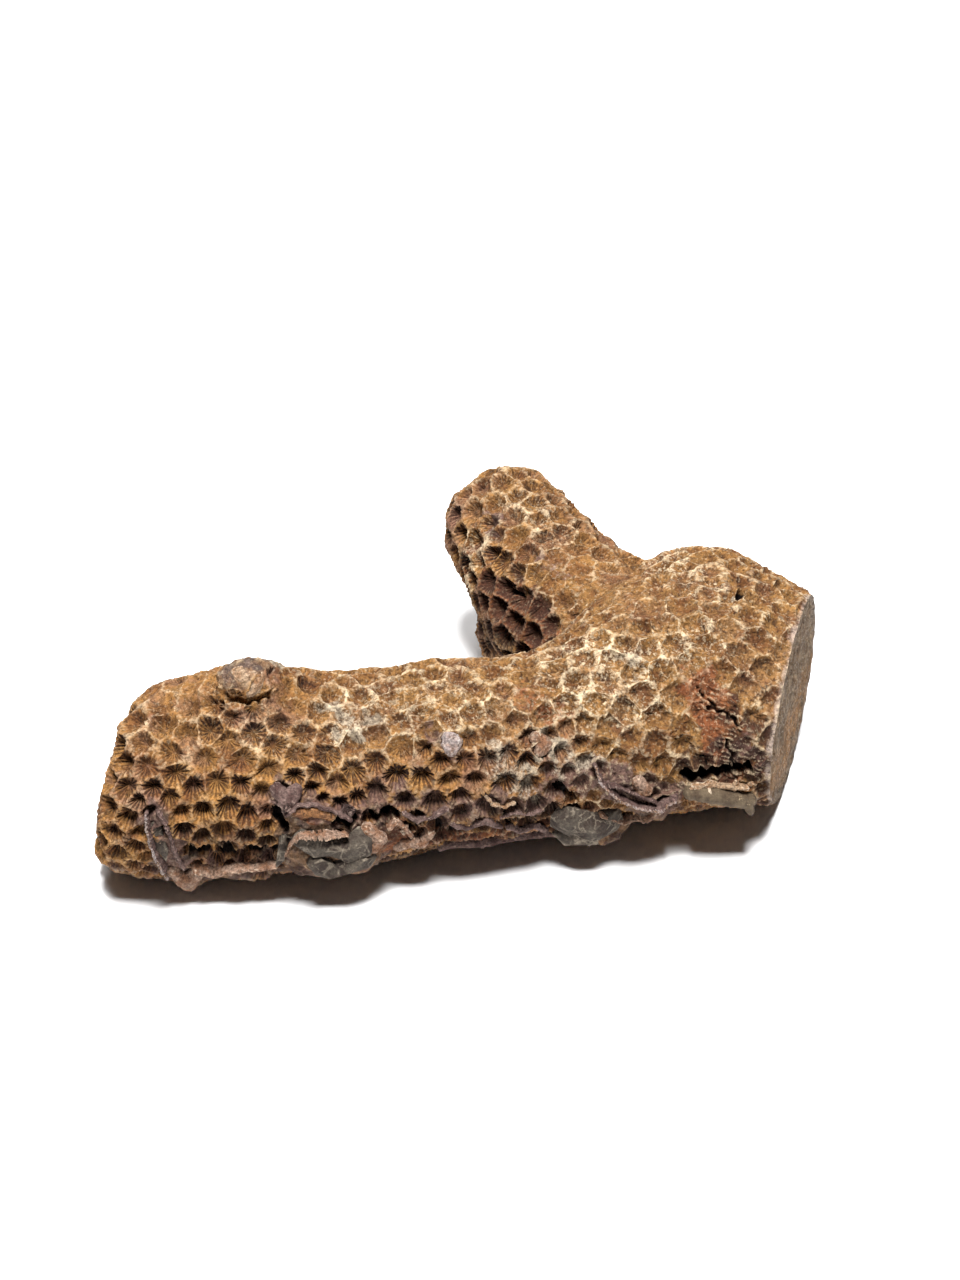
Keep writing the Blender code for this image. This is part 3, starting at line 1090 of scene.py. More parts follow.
@dataclass
class BrokenEnd:
    """The broken face of the trunk: nearly flat, wavy and grainy."""

    point: Vector
    normal: Vector
    step: float = 0.42
    roughness: float = 0.2
    waviness: float = 0.22
    rim_width: float = 1.8
    margin: float = 0.5
    seed: int = 21

    def cut(self, mesh: bpy.types.Mesh) -> None:
        """Cuts the skin at the break and closes it with a grainy face, whose points carry the break's layers.

        Args:
            mesh: the coral's skin before its relief. It is changed in place.
        """
        bm = bmesh.new()
        bm.from_mesh(mesh)
        broken = bm.verts.layers.float.new(Layer.BROKEN.value)
        rim_layer = bm.verts.layers.float.new(Layer.RIM.value)
        reach = bm.verts.layers.float[Layer.REACH.value]
        rib = bm.verts.layers.float[Layer.RIB.value]
        plane = {"plane_co": self.point, "plane_no": self.normal, "dist": TINY}
        bmesh.ops.bisect_plane(bm, geom=bm.verts[:] + bm.edges[:] + bm.faces[:], clear_outer=True, **plane)
        rim = [edge for edge in bm.edges if edge.is_boundary]
        points = list(dict.fromkeys(point for edge in rim for point in edge.verts))
        number = {point: index for index, point in enumerate(points)}
        across = self.normal.cross(Vector((0.0, 0.0, 1.0))).normalized()
        up = across.cross(self.normal)
        flat = [Vector(((p.co - self.point).dot(across), (p.co - self.point).dot(up))) / MM for p in points]
        edges = [(number[edge.verts[0]], number[edge.verts[1]]) for edge in rim]
        tree = kd_tree([place.to_3d() for place in flat])
        spread = flat + self._inner_points(flat, tree)
        made, _, faces, origins, _, _ = delaunay_2d_cdt(spread, edges, [], 1, 1e-5)
        rng = random.Random(self.seed)
        placed = []
        used = {index for face in faces for index in face}
        for index, (place, origin) in enumerate(zip(made, origins)):
            known = [rim_index for rim_index in origin if rim_index < len(points)]
            if known:
                points[known[0]][rim_layer] = 1.0
                placed.append(points[known[0]])
                continue
            if index not in used:
                placed.append(None)
                continue
            dent = self.roughness * rng.random() ** 1.5 + self.waviness * self._wave(place.x, place.y)
            added = bm.verts.new(self.point + (across * place.x + up * place.y - self.normal * dent) * MM)
            added[broken] = 1.0
            added[rim_layer] = max(0.0, 1 - tree.find((place.x, place.y, 0.0))[2] / self.rim_width)
            added[reach], added[rib] = PLAIN_REACH, PLAIN_RIB
            placed.append(added)
        solid = bm.faces.layers.int["solid"]
        face_kind = bm.faces.layers.int.new("finish")
        home = rim[0].link_faces[0][solid]
        for face in faces:
            corners = list(dict.fromkeys(placed[index] for index in face))
            if len(corners) < 3 or bm.faces.get(corners):
                continue
            cap = bm.faces.new(corners)
            cap[face_kind] = 1
            cap[solid] = home
            if (corners[1].co - corners[0].co).cross(corners[2].co - corners[0].co).dot(self.normal) < 0:
                cap.normal_flip()
        bm.to_mesh(mesh)
        bm.free()
        LOG.info("broken face: %d faces", len(faces))

    def _wave(self, x: float, y: float) -> float:
        """A slow wave over the face, from 0 to 2."""
        return 1 + math.sin(x * 1.1 + 2 * math.sin(y * 0.7)) * math.cos(y * 0.9 + x * 0.4)

    def _inner_points(self, flat: list[Vector], tree: kdtree.KDTree) -> list[Vector]:
        """Scatters points over the face, clear of its rim.

        Args:
            flat: the rim's places in the plane of the face.
            tree: a search tree of them.

        Returns:
            The points' places in the plane.
        """
        rng = random.Random(self.seed)
        low = Vector((min(p.x for p in flat), min(p.y for p in flat)))
        high = Vector((max(p.x for p in flat), max(p.y for p in flat)))
        made = []
        for row in range(int((high.y - low.y) / self.step)):
            for column in range(int((high.x - low.x) / self.step)):
                x = low.x + (column + rng.uniform(0.1, 0.9)) * self.step
                y = low.y + (row + rng.uniform(0.1, 0.9)) * self.step
                if tree.find((x, y, 0.0))[2] > self.margin:
                    made.append(Vector((x, y)))
        return made


@dataclass
class Polyps:
    """Paints the layers: how deep each cup is, where the stone is worn, crusted, tinted or hollow, and where
    shade is painted on it.
    """

    skin: CoralSkin
    net: CellNet
    view: View
    seed: int = 8
    worn_depth: float = 0.75
    deep_depth: float = 1.35
    hole_depth: float = 2.3
    hole_share: float = 0.14
    fine_reach: float = 0.9
    rim_reach: float = 1.3
    rim_drop: float = 0.3
    top_slopes: tuple[float, float] = (0.3, 0.9)
    east_along: tuple[float, float] = (-30.0, 5.0)
    trunk_along: tuple[float, float] = (6.0, 20.0)
    trunk_heights: tuple[float, float] = (7.0, 14.0)
    trunk_back: float = 5.0
    finger_along: tuple[float, float] = (0.0, 12.0)
    top_wear: float = 0.45
    east_wear: float = 0.55
    finger_relief: float = 0.8
    trunk_wear: float = 0.85
    depth_jitter: tuple[float, float] = (0.8, 1.2)
    front_slope: float = -0.35
    front_height: float = 14.0
    # The low front gets painted shade beneath the overhangs, and a more violet stone.
    grime_heights: tuple[float, float] = (3.0, 14.0)
    grime_slopes: tuple[float, float] = (0.1, 0.8)
    soot_grime: float = 0.5
    violet_grime: float = 0.6
    patch_core: float = 0.35
    patch_waves: float = 5.0
    patch_stray: float = 0.9
    hollow_core: float = 0.7
    hollow_waves: float = 2.2
    hollow_stray: float = 0.28
    rim_waves: float = 3.1
    rim_stray: float = 0.25
    bore_reach: float = 3.0

    def surface(self) -> bpy.types.Object:
        """The laid-out cells as one mesh object with every layer as a point attribute.

        Returns:
            The object. Its faces also carry the number of the solid that they stand for.
        """
        net = self.net
        mesh = bpy.data.meshes.new("cells")
        mesh.from_pydata([tuple(place) for place in net.places], [], net.faces)
        mesh.update()
        places = np.array(net.places)
        normals = mesh_normals(mesh)
        for layer, values in self._layers(places, normals).items():
            write_layer(mesh, layer, values)
        homes = np.array([self._home(centre) for centre in net.centres], np.int32)
        mesh.attributes.new("solid", "INT", "FACE").data.foreach_set("value", homes[net.face_cell])
        self._refine(mesh)
        BrokenEnd(self.skin.break_point, self.skin.break_normal).cut(mesh)
        places = mesh_points(mesh)
        normals = mesh_normals(mesh)
        places = self._round_rim(mesh, places, normals)
        write_layer(mesh, Layer.HOLLOW, self.hollows(places) * (1 - read_layer(mesh, Layer.BROKEN)))
        beside = 1 - smoothstep(0, self.rim_reach * MM, self._inside(places))
        edge = beside * (1 - read_layer(mesh, Layer.BROKEN))
        write_layer(mesh, Layer.RIM, np.maximum(read_layer(mesh, Layer.RIM), edge))
        for layer, values in self._tints(places, normals).items():
            write_layer(mesh, layer, values)
        LOG.info("cells laid: %d points, %d faces", len(places), len(mesh.polygons))
        return link("cells", mesh)

    def _traced(self, line: tuple[Pixel, ...]) -> list[Vector]:
        """The places on the skin that a line of pixels shows."""
        return [self.skin.spot(self.view, pixel)[0] for pixel in line]

    def _home(self, centre: np.ndarray) -> int:
        """The number of the solid that is nearest to a cell."""
        solids = self.skin.solids
        return min(range(len(solids)), key=lambda i: solids[i].tree.find_nearest(centre)[3])

    def _refine(self, mesh: bpy.types.Mesh) -> None:
        """Divides the faces round the holes, slits and cracks, so that their edges come out crisp.

        Args:
            mesh: the cells. It is changed in place.
        """
        bm = bmesh.new()
        bm.from_mesh(mesh)
        open_ones = [hollow for hollow in HOLLOWS if hollow.depth > 0]
        for cuts, hollows in ((1, open_ones), (3, [hollow for hollow in open_ones if not hollow.ragged])):
            middles = np.array([tuple(face.calc_center_median()) for face in bm.faces])
            near = np.zeros(len(middles), bool)
            for hollow in hollows:
                line = self._traced(hollow.line)
                near |= line_distance(middles, line) < (hollow.radius + self.fine_reach) * MM
            faces = [face for face, chosen in zip(bm.faces, near) if chosen]
            edges = list(dict.fromkeys(edge for face in faces for edge in face.edges))
            bmesh.ops.subdivide_edges(bm, edges=edges, cuts=cuts, use_grid_fill=True)
            bmesh.ops.triangulate(bm, faces=[face for face in bm.faces if len(face.verts) > 4])
        bmesh.ops.delete(bm, geom=[point for point in bm.verts if not point.link_faces], context="VERTS")
        bm.to_mesh(mesh)
        bm.free()

    def _layers(self, places: np.ndarray, normals: np.ndarray) -> dict[Layer, np.ndarray]:
        """Works out the layers that follow the cells.

        Args:
            places: the points' places.
            normals: their outward directions.

        Returns:
            The numbers of each layer.
        """
        net = self.net
        rng = np.random.default_rng(self.seed)
        cell = np.array(net.cell)
        reach = np.array(net.reach)
        cells = len(net.centres)
        x, y, z = places.T
        east = zone(self.east_along, x)
        trunk = zone(self.trunk_along, x) * zone(self.trunk_heights, z) * (y < self.trunk_back * MM)
        finger = zone(self.finger_along, y)
        top = self.top_wear + self.east_wear * east * (1 - self.finger_relief * finger)
        wear = smoothstep(*self.top_slopes, normals[:, 2]) * top
        wear = np.clip(np.maximum(wear, self.trunk_wear * trunk), 0, 1)
        jitter = rng.uniform(*self.depth_jitter, cells)[cell]
        depth = (self.worn_depth * wear + self.deep_depth * (1 - wear)) * jitter
        low_front = (normals[:, 1] < self.front_slope) & (z < self.front_height * MM)
        hole = (rng.random(cells) < self.hole_share)[cell] & low_front
        depth = np.where(hole, self.hole_depth, depth)
        depth = np.where(net.is_cup[cell], depth, 0.0)
        return {
            Layer.REACH: reach,
            Layer.RIB: np.array(net.rib),
            Layer.DEPTH: depth * MM,
            Layer.CRUST: self._crust(cell, reach),
            Layer.WEAR: wear,
            Layer.SHADE: np.where(reach > 0.99, 0.0, rng.uniform(-1, 1, cells)[cell]),
            Layer.SHELTER: np.array(net.shelter),
        }

    def _tints(self, places: np.ndarray, normals: np.ndarray) -> dict[Layer, np.ndarray]:
        """Works out the layers that follow the named patches, over painted shade and a violet tint on the low
        front.

        Args:
            places: the points' places.
            normals: their outward directions.

        Returns:
            The numbers of each layer.
        """
        low = 1 - zone(self.grime_heights, places[:, 2])
        front = smoothstep(*self.grime_slopes, -normals[:, 1])
        tints = {Layer.SOOT: self.soot_grime * low, Layer.VIOLET: self.violet_grime * low * front}
        uneven = wobble(places, self.patch_waves, self.patch_stray)
        for patch in PATCHES:
            line = self._traced(patch.line)
            away = line_distance(uneven, line) / (patch.radius * MM)
            share = patch.strength * (1 - smoothstep(self.patch_core, 1.0, away))
            tints[patch.layer] = np.maximum(tints.get(patch.layer, np.zeros(len(places))), share)
        return tints

    def _crust(self, cell: np.ndarray, reach: np.ndarray) -> np.ndarray:
        """Marks plain cells with 1 and cups with 0, and the wall points that they share between.

        Args:
            cell: the cell of each point.
            reach: how far out each point is in its cell.

        Returns:
            The number of each point.
        """
        net = self.net
        plain = (~net.is_cup[cell]).astype(float)
        total = np.zeros(len(cell))
        count = np.zeros(len(cell))
        for face, owner in zip(net.faces, net.face_cell):
            for point in face:
                total[point] += not net.is_cup[owner]
                count[point] += 1
        return np.where(reach > 0.99, total / np.maximum(count, 1), plain)

    def _round_rim(self, mesh: bpy.types.Mesh, places: np.ndarray, normals: np.ndarray) -> np.ndarray:
        """Rounds the skin off towards the broken face.

        Args:
            mesh: the cut skin. Its points are moved.
            places: the points' places.
            normals: their outward directions.

        Returns:
            The new places.
        """
        facing = np.array(self.skin.break_normal)
        outward = normals - (normals @ facing)[:, None] * facing
        outward /= np.maximum(np.linalg.norm(outward, axis=1), 0.001)[:, None]
        strayed = wobble(places, self.rim_waves, self.rim_stray)
        near = 1 - smoothstep(0, self.rim_reach * MM, self._inside(strayed))
        drop = self.rim_drop * MM * near * (1 - read_layer(mesh, Layer.BROKEN))
        moved = places - outward * drop[:, None]
        mesh.vertices.foreach_set("co", moved.astype(np.float32).ravel())
        return moved

    def _inside(self, places: np.ndarray) -> np.ndarray:
        """How far places lie in from the broken face, in metres."""
        away = (np.array(self.skin.break_point) - places) @ np.array(self.skin.break_normal)
        return np.maximum(away, 0)

    def hollows(self, places: np.ndarray) -> np.ndarray:
        """Measures how far each point sinks into the holes, slits and cracks. A mound counts below 0.

        Args:
            places: the points' places.

        Returns:
            The depths in metres.
        """
        sunk, raised = np.zeros(len(places)), np.zeros(len(places))
        uneven = wobble(places, self.hollow_waves, self.hollow_stray)
        for hollow in HOLLOWS:
            line = self._traced(hollow.line)
            if not hollow.ragged:
                run = self.view.ray(hollow.line[0]) * self.bore_reach * MM
                line = [line[0] - run, line[0] + run]
            away = line_distance(uneven if hollow.ragged else places, line) / (hollow.radius * MM)
            if hollow.depth < 0:
                raised += hollow.depth * MM * (1 - smoothstep(0.0, 1.0, away))
            else:
                sunk = np.maximum(sunk, hollow.depth * MM * (1 - smoothstep(self.hollow_core, 1.0, away)))
        return sunk + raised


@dataclass(frozen=True)
class Rock:
    """A kind of crust: how finely its facets break, how lumpy and how veined it is, and its colours."""

    name: str
    facets: float
    lump: float
    veins: float
    stone: Tone
    stain: Tone
    wear: Tone

    def coarse(self) -> float:
        """How rough the crust is in all, from 0 for a smooth shell to 1."""
        return min(1.0, self.lump * 3)


MATRIX = Rock("grey_matrix", 0.008, 0.2, 0.5, tone(76, 68, 59), tone(50, 40, 34), tone(138, 126, 110))
VIOLET = Rock("violet_crust", 0.09, 0.3, 0.1, tone(98, 78, 72), tone(66, 46, 42), tone(160, 138, 126))
PALE = Rock("pale_crust", 0.07, 0.35, 0.15, tone(132, 108, 92), tone(110, 76, 54), tone(188, 166, 144))
LILAC = Rock("lilac_crust", 0.07, 0.4, 0.25, tone(136, 122, 118), tone(112, 84, 64), tone(186, 178, 172))
BEIGE = Rock("beige_crust", 0.07, 0.4, 0.1, tone(146, 122, 98), tone(118, 84, 56), tone(190, 172, 150))
OCHRE = Rock("ochre_crust", 0.07, 0.35, 0.1, tone(128, 88, 54), tone(88, 58, 42), tone(176, 148, 116))
SHELL = Rock("shell_crust", 0.25, 0.08, 0.0, tone(98, 84, 66), tone(72, 58, 44), tone(186, 164, 130))


@dataclass(frozen=True)
class Lump:
    """A lump, ledge or flange of crust: its line in pixels; half width, height and lift in millimetres."""

    name: str
    rock: Rock
    line: tuple[Pixel, ...]
    half_width: float
    height: float
    lift: float = 0.0


FLANGE_LINE = ((147, 812), (148, 826), (152, 842), (160, 858), (170, 872))
FOLD_LINE = ((594, 764), (602, 780), (618, 794), (638, 804), (656, 806), (676, 794))
SHELF_RIM = (
    (689, 787), (699, 785), (704, 784), (707, 779), (709, 784), (718, 786),
    (729, 786), (733, 777), (736, 785), (744, 784), (752, 777),
)
LUMPS = (
    Lump("top_nodule", BEIGE, ((240, 676), (248, 682), (257, 677), (250, 690)), 1.0, 0.7, 0.8),
    Lump("flange_outer", VIOLET, FLANGE_LINE, 0.3, 1.0, 0.2),
    Lump("flange_inner", VIOLET, ((158, 810), (166, 824), (171, 838), (174, 850), (182, 864)), 0.3, 1.0, 0.2),
    Lump("flange_floor", MATRIX, ((154, 824), (160, 842), (168, 858)), 0.9, 0.35),
    Lump("flange_foot", PALE, ((172, 870), (182, 878), (189, 884), (196, 872)), 1.2, 1.0),
    Lump("bottom_ledge", PALE, ((194, 866), (214, 868), (236, 865), (256, 866), (276, 862)), 0.5, 1.4, 0.2),
    Lump("hanging_ledge", MATRIX, ((285, 832), (283, 846), (279, 862)), 0.7, 1.3),
    Lump("matrix_lump", MATRIX, ((304, 838), (318, 846), (332, 842), (348, 850), (362, 840)), 1.9, 1.9, -0.2),
    Lump("matrix_foot", MATRIX, ((316, 862), (330, 872), (346, 866), (366, 858)), 1.5, 1.2),
    Lump("matrix_rim", PALE, ((290, 850), (293, 836), (302, 829), (320, 828), (346, 830)), 0.2, 0.9, 1.2),
    Lump("round_nodule", PALE, ((368, 830), (379, 838), (372, 846)), 1.1, 1.5),
    Lump("violet_plate", VIOLET, ((276, 788), (284, 800), (296, 790), (284, 808)), 0.9, 0.7),
    Lump("arch", VIOLET, ((286, 812), (296, 804), (314, 805), (332, 811), (350, 818)), 0.35, 1.1, 0.3),
    Lump("arch_body", OCHRE, ((296, 812), (314, 811), (332, 816)), 0.8, 0.8),
    Lump("low_lumps", PALE, ((398, 846), (410, 840), (422, 842), (430, 832)), 0.9, 1.1, -0.1),
    Lump("low_arch", PALE, ((388, 826), (396, 820), (406, 826), (410, 834)), 0.4, 1.0, 0.2),
    Lump("low_ledge", VIOLET, ((440, 846), (470, 842), (500, 843), (530, 840), (552, 842)), 0.45, 0.9),
    Lump("low_nodules", VIOLET, ((452, 822), (466, 826), (486, 820), (500, 826)), 0.6, 0.7),
    Lump("low_plate", BEIGE, ((486, 796), (492, 803), (504, 806), (514, 802)), 0.24, 0.5, 0.1),
    Lump("crack_edge", VIOLET, ((500, 816), (514, 811), (530, 813), (542, 809)), 0.18, 0.6, 0.1),
    Lump("low_fold", VIOLET, ((404, 812), (416, 819), (432, 816), (446, 808)), 0.4, 0.7, 0.1),
    Lump("low_crumbs", VIOLET, ((508, 826), (520, 830), (536, 824), (546, 830)), 0.5, 0.6),
    Lump("front_nodule", LILAC, ((448, 738), (456, 742), (452, 750), (446, 746)), 0.9, 1.0, -0.1),
    Lump("pale_nodule", PALE, ((536, 738), (547, 744), (540, 752)), 0.9, 0.8, -0.2),
    Lump("right_matrix", MATRIX, ((566, 818), (580, 825), (594, 828), (608, 819)), 2.3, 1.7, -0.2),
    Lump("right_foot", MATRIX, ((562, 834), (576, 838), (592, 837)), 1.4, 1.3),
    Lump("fold_outer", VIOLET, FOLD_LINE, 0.3, 1.2, 0.4),
    Lump("fold_inner", VIOLET, ((608, 782), (622, 788), (638, 796), (654, 800)), 0.28, 1.0, 0.3),
    Lump("fold_edge", PALE, ((600, 812), (622, 818), (644, 816), (664, 802)), 0.35, 1.0, 0.3),
    Lump("fold_nodule", PALE, ((638, 782), (646, 790), (640, 792)), 1.0, 0.9),
    Lump("fold_rim", LILAC, FOLD_LINE, 0.13, 0.3, 1.5),
    Lump("flange_rim", LILAC, FLANGE_LINE, 0.13, 0.3, 1.1),
    Lump("shelf", SHELL, ((691, 792), (706, 793), (722, 797), (738, 800), (747, 799)), 1.2, 1.5, 0.2),
    Lump("shelf_top", BEIGE, ((693, 786), (708, 784), (724, 786), (742, 786)), 0.6, 1.0, 0.7),
    Lump("shelf_lip", SHELL, ((736, 797), (742, 801), (748, 804)), 0.7, 1.3, 0.6),
    Lump("shelf_rim", BEIGE, SHELF_RIM, 0.22, 0.35, 1.1),
)


@dataclass
class Crust:
    """The lumps, ledges and flanges that are cemented to the coral, each fused from beads along its line."""

    skin: CoralSkin
    polyps: Polyps
    view: View
    step: float = 0.4
    voxel: float = 0.25
    wide: float = 1.4
    uneven: float = 0.16
    evenness: float = 0.75
    stray: float = 0.12
    seed: int = 30

    def build(self, materials: dict[str, bpy.types.Material]) -> None:
        """Makes one piece for each lump.

        Args:
            materials: the finish of each kind of crust, by the kind's name.
        """
        for number, lump in enumerate(LUMPS):
            rock = link(lump.name, self._fused(lump, random.Random(self.seed + number)))
            sunk = self.polyps.hollows(mesh_points(rock.data))
            write_layer(rock.data, Layer.HOLLOW, np.maximum(sunk, 0.0))
            slim = min(1.0, lump.half_width)
            grain = RockRelief.grain * slim * lump.rock.coarse()
            relief = RockRelief(lump=lump.rock.lump * slim, grain=grain, seed=float(number))
            mesh = relief.apply(rock, materials[lump.rock.name])
            write_crest(mesh)
            points = mesh_points(mesh)
            points[:, 2] = np.maximum(points[:, 2], 0.0)
            mesh.vertices.foreach_set("co", points.astype(np.float32).ravel())
            mesh.shade_smooth()
            hand_over(link("crust_" + lump.name, mesh))

    def _fused(self, lump: Lump, rng: random.Random) -> bpy.types.Mesh:
        """Fuses the beads of one lump in one closed mesh and breaks it into facets.

        Args:
            lump: the lump.
            rng: the source of unevenness.

        Returns:
            The mesh.
        """
        bm = bmesh.new()
        uneven = self.uneven * lump.rock.coarse()
        width = height = 0.0
        for place, out in self._beads(lump, rng):
            width = self.evenness * width + rng.uniform(-uneven, uneven)
            height = self.evenness * height + rng.uniform(-uneven, uneven)
            wide, high = lump.half_width * (1 + width), lump.height * (1 + height)
            turn = out.to_track_quat("Z", "Y").to_matrix().to_4x4()
            size = Matrix.Diagonal((wide * MM, wide * MM, high * MM, 1.0))
            middle = Matrix.Translation(place + out * lump.lift * MM)
            bmesh.ops.create_icosphere(bm, subdivisions=2, radius=1.0, matrix=middle @ turn @ size)
        mesh = bpy.data.meshes.new(lump.name)
        bm.to_mesh(mesh)
        bm.free()
        rock = link(lump.name, mesh)
        fineness = 3 if lump.half_width > self.wide else 2
        for kind, settings in (
            ("REMESH", {"mode": "VOXEL", "voxel_size": min(self.voxel, lump.half_width / 2) * MM}),
            ("DECIMATE", {"ratio": lump.rock.facets}),
            ("SUBSURF", {"subdivision_type": "SIMPLE", "levels": fineness, "render_levels": fineness}),
        ):
            modifier = rock.modifiers.new(kind.lower(), kind)
            for setting, value in settings.items():
                setattr(modifier, setting, value)
        made = bpy.data.meshes.new_from_object(rock.evaluated_get(bpy.context.evaluated_depsgraph_get()))
        bpy.data.objects.remove(rock)
        return made

    def _beads(self, lump: Lump, rng: random.Random) -> list[tuple[Vector, Vector]]:
        """Strings beads along a lump's line, each a little off it.

        Args:
            lump: the lump.
            rng: the source of strays.

        Returns:
            Each bead's place, and the skin's direction there.
        """
        spots = [self.skin.spot(self.view, pixel) for pixel in lump.line]
        beads = [spots[0]]
        for (start, out), (end, turned) in zip(spots, spots[1:]):
            steps = max(1, round((end - start).length / (min(self.step, lump.half_width) * MM)))
            for index in range(1, steps + 1):
                stray = Vector([rng.uniform(-self.stray, self.stray) for _ in range(3)]) * MM
                near = self.skin.surface.find_nearest(start.lerp(end, index / steps) + stray)[0]
                beads.append((near, out.lerp(turned, index / steps).normalized()))
        return beads


def hand_over(piece: bpy.types.Object, node: str = "") -> None:
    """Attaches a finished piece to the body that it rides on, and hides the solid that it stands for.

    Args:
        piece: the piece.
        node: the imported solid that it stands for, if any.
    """
    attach(piece, BODY)
    if node:
        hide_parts(node)
    triangles = sum(len(face.vertices) - 2 for face in piece.data.polygons)
    LOG.info("%s: %d triangles", piece.name, triangles)


@dataclass
class Parting:
    """Parts the finished skin into one closed piece for each solid, along the tops of the cup walls."""

    skirt: float = 2.6
    evening: int = 12
    names: dict[str, str] = field(
        default_factory=lambda: {
            "trunk": "coral_trunk",
            "long_branch": "coral_long_branch",
            "short_branch": "coral_short_branch",
        }
    )

    def part(self, bm: bmesh.types.BMesh, solids: list[str], materials: list[bpy.types.Material]) -> None:
        """Makes the pieces and hands them over.

        Args:
            bm: the whole skin, closed.
            solids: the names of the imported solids, in the order of the skin's own numbers.
            materials: the materials of the pieces.
        """
        finish = bm.faces.layers.int["finish"]
        for face in bm.faces:
            face.material_index = face[finish]
        whole = bpy.data.meshes.new("whole")
        bm.to_mesh(whole)
        beside = Neighbours(whole)
        normals = mesh_normals(whole)
        for _ in range(self.evening):
            normals = (normals + beside.mean(normals)) / 2
        inward = -normals / np.maximum(np.linalg.norm(normals, axis=1), 0.001)[:, None]
        for number, name in enumerate(solids):
            piece = bmesh.new()
            piece.from_mesh(whole)
            solid = piece.faces.layers.int["solid"]
            tag = piece.verts.layers.int.new("number")
            for index, point in enumerate(piece.verts):
                point[tag] = index
            others = [face for face in piece.faces if face[solid] != number]
            bmesh.ops.delete(piece, geom=others, context="FACES")
            self._close(piece, tag, inward)
            self._finish(piece, self.names[name], name, materials)
        bpy.data.meshes.remove(whole)

    def _close(self, piece: bmesh.types.BMesh, tag: object, inward: np.ndarray) -> None:
        """Runs a skirt in from the open edge and caps it, so that the piece is a closed solid.

        Args:
            piece: the piece's faces. They are changed in place.
            tag: the layer with the points' numbers.
            inward: the inward direction at each number.
        """
        rim = [edge for edge in piece.edges if edge.is_boundary]
        for edge in rim:
            edge.smooth = False
        made = bmesh.ops.extrude_edge_only(piece, edges=rim)["geom"]
        moved = [item for item in made if isinstance(item, bmesh.types.BMVert)]
        for point in moved:
            point.co += Vector(inward[point[tag]]) * self.skirt * MM
        inner = [item for item in made if isinstance(item, bmesh.types.BMEdge) and item.is_boundary]
        bmesh.ops.holes_fill(piece, edges=inner, sides=0)
        bmesh.ops.triangulate(piece, faces=[face for face in piece.faces if len(face.verts) > 4])

    def _finish(
        self, piece: bmesh.types.BMesh, name: str, node: str, materials: list[bpy.types.Material]
    ) -> None:
        """Makes a piece's object and says what it rides on and stands for.

        Args:
            piece: the closed piece. It is freed.
            name: the object's name.
            node: the solid.
            materials: the materials of the piece.
        """
        for point in piece.verts:
            point.co.z = max(point.co.z, 0.0)
        mesh = bpy.data.meshes.new(name)
        piece.to_mesh(mesh)
        piece.free()
        for material in materials:
            mesh.materials.append(material)
        mesh.shade_smooth()
        hand_over(link(name, mesh), node)


